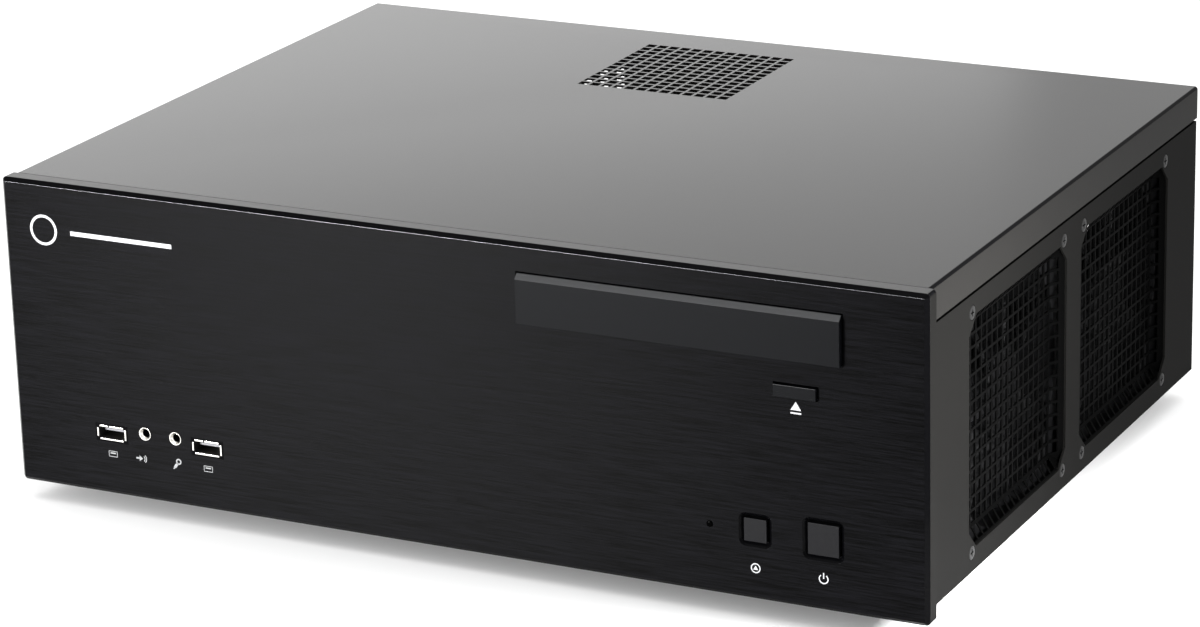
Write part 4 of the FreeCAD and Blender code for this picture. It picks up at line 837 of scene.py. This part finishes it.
def microphone_sign(x, z):
    """A round-headed microphone that leans to the right."""
    lean = -38  # degrees
    return [ring(x + 0.9 * MM, z + 1.2 * MM, 1.4, 0.65),
            bar(x - 0.5 * MM, z - 0.7 * MM, 1.3, 2.6, lean), bar(x - 1.6 * MM, z - 2.1 * MM, 0.5, 1.0, lean)]


# Screws

def cross_tool(top, axis, size, depth):
    """A cross-shaped cutter that goes a depth into a screw's head from its top."""
    bars = []
    thin = size * 0.22
    for across in "xyz".replace(axis, ""):
        low, high = Vector(top), Vector(top)
        for index, name in enumerate("xyz"):
            reach = depth if name == axis else (size if name == across else thin)
            low[index] -= reach
            high[index] += reach
        bars.append(block(low, high))
    return bars


def screw_head(axis, profile, size, depth):
    """A turned screw head at the origin with a cross recess in its outer end."""
    head = lathe((0, 0, 0), axis, profile, 32)
    top = AXES[axis] * profile[-1][1]
    return round_edges(cut(head, *cross_tool(top, axis, size, depth)), 0.08 * MM)


def place_screws(name, node, pattern, places, finish):
    """Copies of a screw at their places, which stand for a node."""
    made = [copied(pattern, place) for place in places]
    bpy.data.objects.remove(pattern)
    paint(stand_for(joined(name, made), node), finish)


def fan_screws():
    """Countersunk screws flush with the side walls."""
    low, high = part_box("fan_screws")
    wall, half_pitch = 1 * MM, 52.5 * MM
    profile = [(1.9 * MM, -15 * MM), (2 * MM, -14.6 * MM), (2 * MM, -wall), (3.1 * MM, -0.08 * MM),
               (2.9 * MM, 0)]
    pattern = screw_head("x", profile, 1.6 * MM, 1.1 * MM)
    places = []
    for name in SIDE_FANS:
        middle = middle_of(f"{name}_fan_frame")
        outside, turn = (high.x, 0) if middle.x > 0 else (low.x, pi)
        for across in (-half_pitch, half_pitch):
            for up in (-half_pitch, half_pitch):
                place = moved(outside, middle.y + across, middle.z + up)
                places.append(place @ Matrix.Rotation(turn, 4, "Z"))
    place_screws("countersunk_screws", "fan_screws", pattern, places, "dark_screw")


def slot_screws():
    """Round-headed screws on the slot covers."""
    low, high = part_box("slot_screws")
    length = high.y - low.y
    head, radius, slot_pitch = 1.6 * MM, 3.2 * MM, 20.32 * MM
    profile = [(1.8 * MM, 0), (2 * MM, 0.4 * MM), (2 * MM, length - head), (radius, length - head),
               (radius, length - 0.7 * MM), (2.6 * MM, length - 0.2 * MM), (1.6 * MM, length)]
    pattern = screw_head("y", profile, 1.7 * MM, 0.9 * MM)
    z = (low.z + high.z) / 2
    places = [moved(low.x + radius + slot_pitch * k, low.y, z) for k in range(4)]
    place_screws("slot_cover_screws", "slot_screws", pattern, places, "bright_screw")


def thumbscrews():
    """Knurled heads with a cross recess, on the cover's back edge."""
    low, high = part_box("cover_thumbscrews")
    length = high.y - low.y
    head, radius, grooves = 4 * MM, 4.5 * MM, 24
    start = length - head
    profile = [(1.8 * MM, 0), (2 * MM, 0.4 * MM), (2 * MM, start), (radius * 0.8, start),
               (radius, start + 0.5 * MM), (radius, length - 0.7 * MM), (radius * 0.85, length)]
    pattern = screw_head("y", profile, 2.2 * MM, 1.2 * MM)
    groove = [(0.35 * MM, 0), (0.35 * MM, head + 0.4 * MM)]
    for k in range(grooves):
        angle = 2 * pi * k / grooves
        place = (radius * 1.04 * cos(angle), start - 0.2 * MM, radius * 1.04 * sin(angle))
        cut(pattern, lathe(place, "y", groove, 6))
    z = (low.z + high.z) / 2
    places = [moved(x, low.y, z) for x in (low.x + radius, 0, high.x - radius)]
    place_screws("knurled_thumbscrews", "cover_thumbscrews", pattern, places, "dark_screw")


# Fans

def blade(hub, tip, depth, chord):
    """A cambered, twisted and swept blade along +X, drawn from a grid."""
    columns, rows = 8, 6
    root_pitch, untwist = 48, 16  # degrees
    camber, sweep = 0.1, 0.12  # shares of the chord and of the span
    span = tip - hub
    deselect()
    bpy.ops.mesh.primitive_grid_add(x_subdivisions=columns, y_subdivisions=rows, size=1)
    piece = bpy.context.object
    piece.data.transform(moved((hub + tip) / 2, 0, 0) @ Matrix.Diagonal((span, chord, 1, 1)))
    bpy.ops.object.mode_set(mode="EDIT")
    bpy.ops.mesh.select_mode(type="VERT")
    for row in range(rows + 1):
        y = (row / rows - 0.5) * chord
        pick_points(piece, lambda spot: abs(spot.y - y) < 0.1 * MM)
        bpy.ops.transform.translate(value=(0, 0, camber * chord * (1 - (2 * y / chord) ** 2)))
    for column in range(columns + 1):
        share = column / columns
        x = hub + share * span
        pitch = radians(root_pitch - untwist * share)
        pick_points(piece, lambda spot: abs(spot.x - x) < 0.1 * MM)
        bpy.ops.transform.rotate(value=-pitch, orient_axis="X", center_override=(x, 0, 0))
        bpy.ops.transform.translate(value=(0, sweep * span * share ** 2, depth))
    bpy.ops.object.mode_set(mode="OBJECT")
    modifier = piece.modifiers.new("thickness", "SOLIDIFY")
    modifier.thickness = 1.5 * MM
    modifier.offset = 0
    use(piece)
    bpy.ops.object.modifier_apply(modifier=modifier.name)
    return round_edges(piece, 0.35 * MM)


def fan_wheel(hub, tip, depth, blades, chord):
    """A hub with its blades about the Z axis; Z = 0 is the back of the fan's frame."""
    bottom, top = 3.6 * MM, depth - 1 * MM
    profile = [(hub, bottom), (hub, top - 1.2 * MM), (hub - 0.4 * MM, top - 0.4 * MM), (hub - 1.2 * MM, top),
               (hub - 3 * MM, top), (hub - 3.3 * MM, top - 0.4 * MM)]
    parts = [round_edges(lathe((0, 0, 0), "z", profile, 64), 0.15 * MM)]
    pattern = blade(hub - 1 * MM, tip, (depth + 3 * MM) / 2, chord)
    parts += [copied(pattern, Matrix.Rotation(2 * pi * k / blades, 4, "Z")) for k in range(blades)]
    bpy.data.objects.remove(pattern)
    return joined("fan_wheel", parts)


def place_wheels(pattern, places):
    """Copies of a fan wheel that stand for rotors; each place has a fan, a start and a turn about an axis."""
    for fan, start, turn, axis in places:
        wheel = copied(pattern, Matrix.Translation(start) @ Matrix.Rotation(radians(turn), 4, axis))
        wheel.name = f"{fan}_fan_wheel"
        paint(stand_for(wheel, f"{fan}_fan_rotor"), "fan")
    bpy.data.objects.remove(pattern)


def fans():
    """The wheels of three large and two small fans, and their frames with rounded edges."""
    places = []
    for name in SIDE_FANS:
        low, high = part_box(f"{name}_fan_frame")
        middle = middle_of(f"{name}_fan_frame")
        inside, turn = (low.x, 90) if middle.x > 0 else (high.x, -90)
        places.append((name, (inside, middle.y, middle.z), turn, "Y"))
    place_wheels(fan_wheel(hub=20 * MM, tip=55.3 * MM, depth=25 * MM, blades=7, chord=25 * MM), places)
    processor, supply = middle_of("processor_fan_frame"), middle_of("supply_fan_frame")
    processor.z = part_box("processor_fan_frame")[0].z
    supply.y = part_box("supply_fan_frame")[0].y
    place_wheels(fan_wheel(hub=14 * MM, tip=35.8 * MM, depth=20 * MM, blades=5, chord=20 * MM),
                 [("processor", processor, 0, "Z"), ("supply", supply, -90, "X")])
    for name in (*SIDE_FANS, "processor", "supply"):
        paint(softened(f"{name}_fan_frame", 0.5 * MM), "fan")


# Rear: sockets, power supply

def in_socket(left, bottom, width, height, proud=-1.0):
    """A block in one of the board's sockets, in millimetres from the socket group's lower left corner."""
    low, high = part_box("rear_ports")
    return block((low.x + left * MM, high.y - 9 * MM, low.z + bottom * MM),
                 (low.x + (left + width) * MM, high.y + proud * MM, low.z + (bottom + height) * MM))


def rear_sockets():
    """The main board's socket shells, painted dark as shade behind their bright rims, their tongues and their
    gold contacts.
    """
    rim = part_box("rear_ports")[1].y - 0.3 * MM
    # Only the rims are bright nickel; the shells' mouths behind them are painted dark as shade.
    paint(softened("rear_ports", 0.12 * MM), "painted_socket_shade",
          ("nickel", lambda centre, normal: centre.y > rim))
    tongues = [in_socket(left + 1.95, bottom + 3.6, 10.6, 1.9) for left in (0, 18, 38) for bottom in (0, 10)]
    tongues += [in_socket(69.5, 22.6, 11, 1.6), in_socket(64, 2.2, 27, 7.6)]
    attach(paint(round_edges(joined("rear_tongues", tongues), 0.2 * MM, 1), "tongue"), "case")
    pins = [in_socket(42.2 + 1.1 * k, 31.8, 0.5, 0.5) for k in range(6)]
    pins += [in_socket(67.2 + 2.3 * k, 3.7 + 1.9 * row, 0.8, 0.8, -0.5)
             for k in range(10) for row in range(3)]
    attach(paint(round_edges(joined("rear_contacts", pins), 0.08 * MM, 1), "gold"), "case")


def rear_jacks():
    """Round audio sockets, each with a coloured ring round a bore painted dark as shade."""
    paint(softened("rear_audio_jacks", 0.2 * MM), "socket")
    low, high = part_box("rear_audio_jacks")
    x = (low.x + high.x) / 2
    bore, first, pitch = 1.85 * MM, 5 * MM, 12 * MM
    profile = [(3.2 * MM, -0.6 * MM), (3.2 * MM, 0.1 * MM), (3 * MM, 0.25 * MM), (2.1 * MM, 0.25 * MM),
               (bore, 0), (bore, -1 * MM)]
    for k, color in enumerate(("pink", "green", "blue")):
        z = low.z + first + pitch * k
        collar = lathe((x, high.y, z), "y", profile)
        collar.name = f"{color}_ring"

        # Faces inside the bore are painted dark as shade.
        def in_bore(centre, normal):
            return (centre.x - x) ** 2 + (centre.z - z) ** 2 < (bore + 0.1 * MM) ** 2

        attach(paint(round_edges(collar, 0.04 * MM, 1), color, ("painted_socket_shade", in_bore)), "case")


def power_entry():
    """The power supply's case, its mains inlet with bright pins, and its rocker switch."""
    paint(softened("power_supply_case", 0.25 * MM), "supply")
    paint(softened("power_inlet", 0.3 * MM), "inlet", ("nickel", on_pin))
    paint(softened("supply_rocker_switch", 0.25 * MM, 3), "key")


def on_pin(centre, normal):
    """Whether a face belongs to one of the mains inlet's three pins."""
    low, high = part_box("power_inlet")
    x, z = (low.x + high.x) / 2, low.z + 12 * MM
    pins = ((x - 7 * MM, z - 2 * MM), (x + 7 * MM, z - 2 * MM), (x, z + 2 * MM))
    beside = any(abs(centre.x - a) < 1.1 * MM and abs(centre.z - b) < 2.1 * MM for a, b in pins)
    return beside and high.y - 15.8 * MM < centre.y < high.y - 4 * MM


def rocker_marks():
    """A line on the upper half of the rocker and a ring on the lower half."""
    low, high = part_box("supply_rocker_switch")
    x, z, reach = (low.x + high.x) / 2, (low.z + high.z) / 2, (high.z - low.z) / 4
    marks = [bar(x, z + reach, 0.7, 4), ring(x, z - reach, 2, 0.7)]
    for mark in marks:
        mark.data.transform(moved(0, high.y, 0) @ Matrix.Rotation(pi, 4, "Z") @ moved(-2 * x, -FRONT, 0))
    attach(paint(joined("rocker_marks", marks), "print"), "rocker")


set_camera()
set_room()
set_floor()
FINISHES = make_finishes()
paint_nodes()
front_panel()
sheet_metal()
feet()
keys()
optical_drive()
status_lens()
usb_sockets()
usb_surrounds()
usb_contacts()
audio_sockets()
front_marks()
fan_screws()
slot_screws()
thumbscrews()
fans()
rear_sockets()
rear_jacks()
power_entry()
rocker_marks()
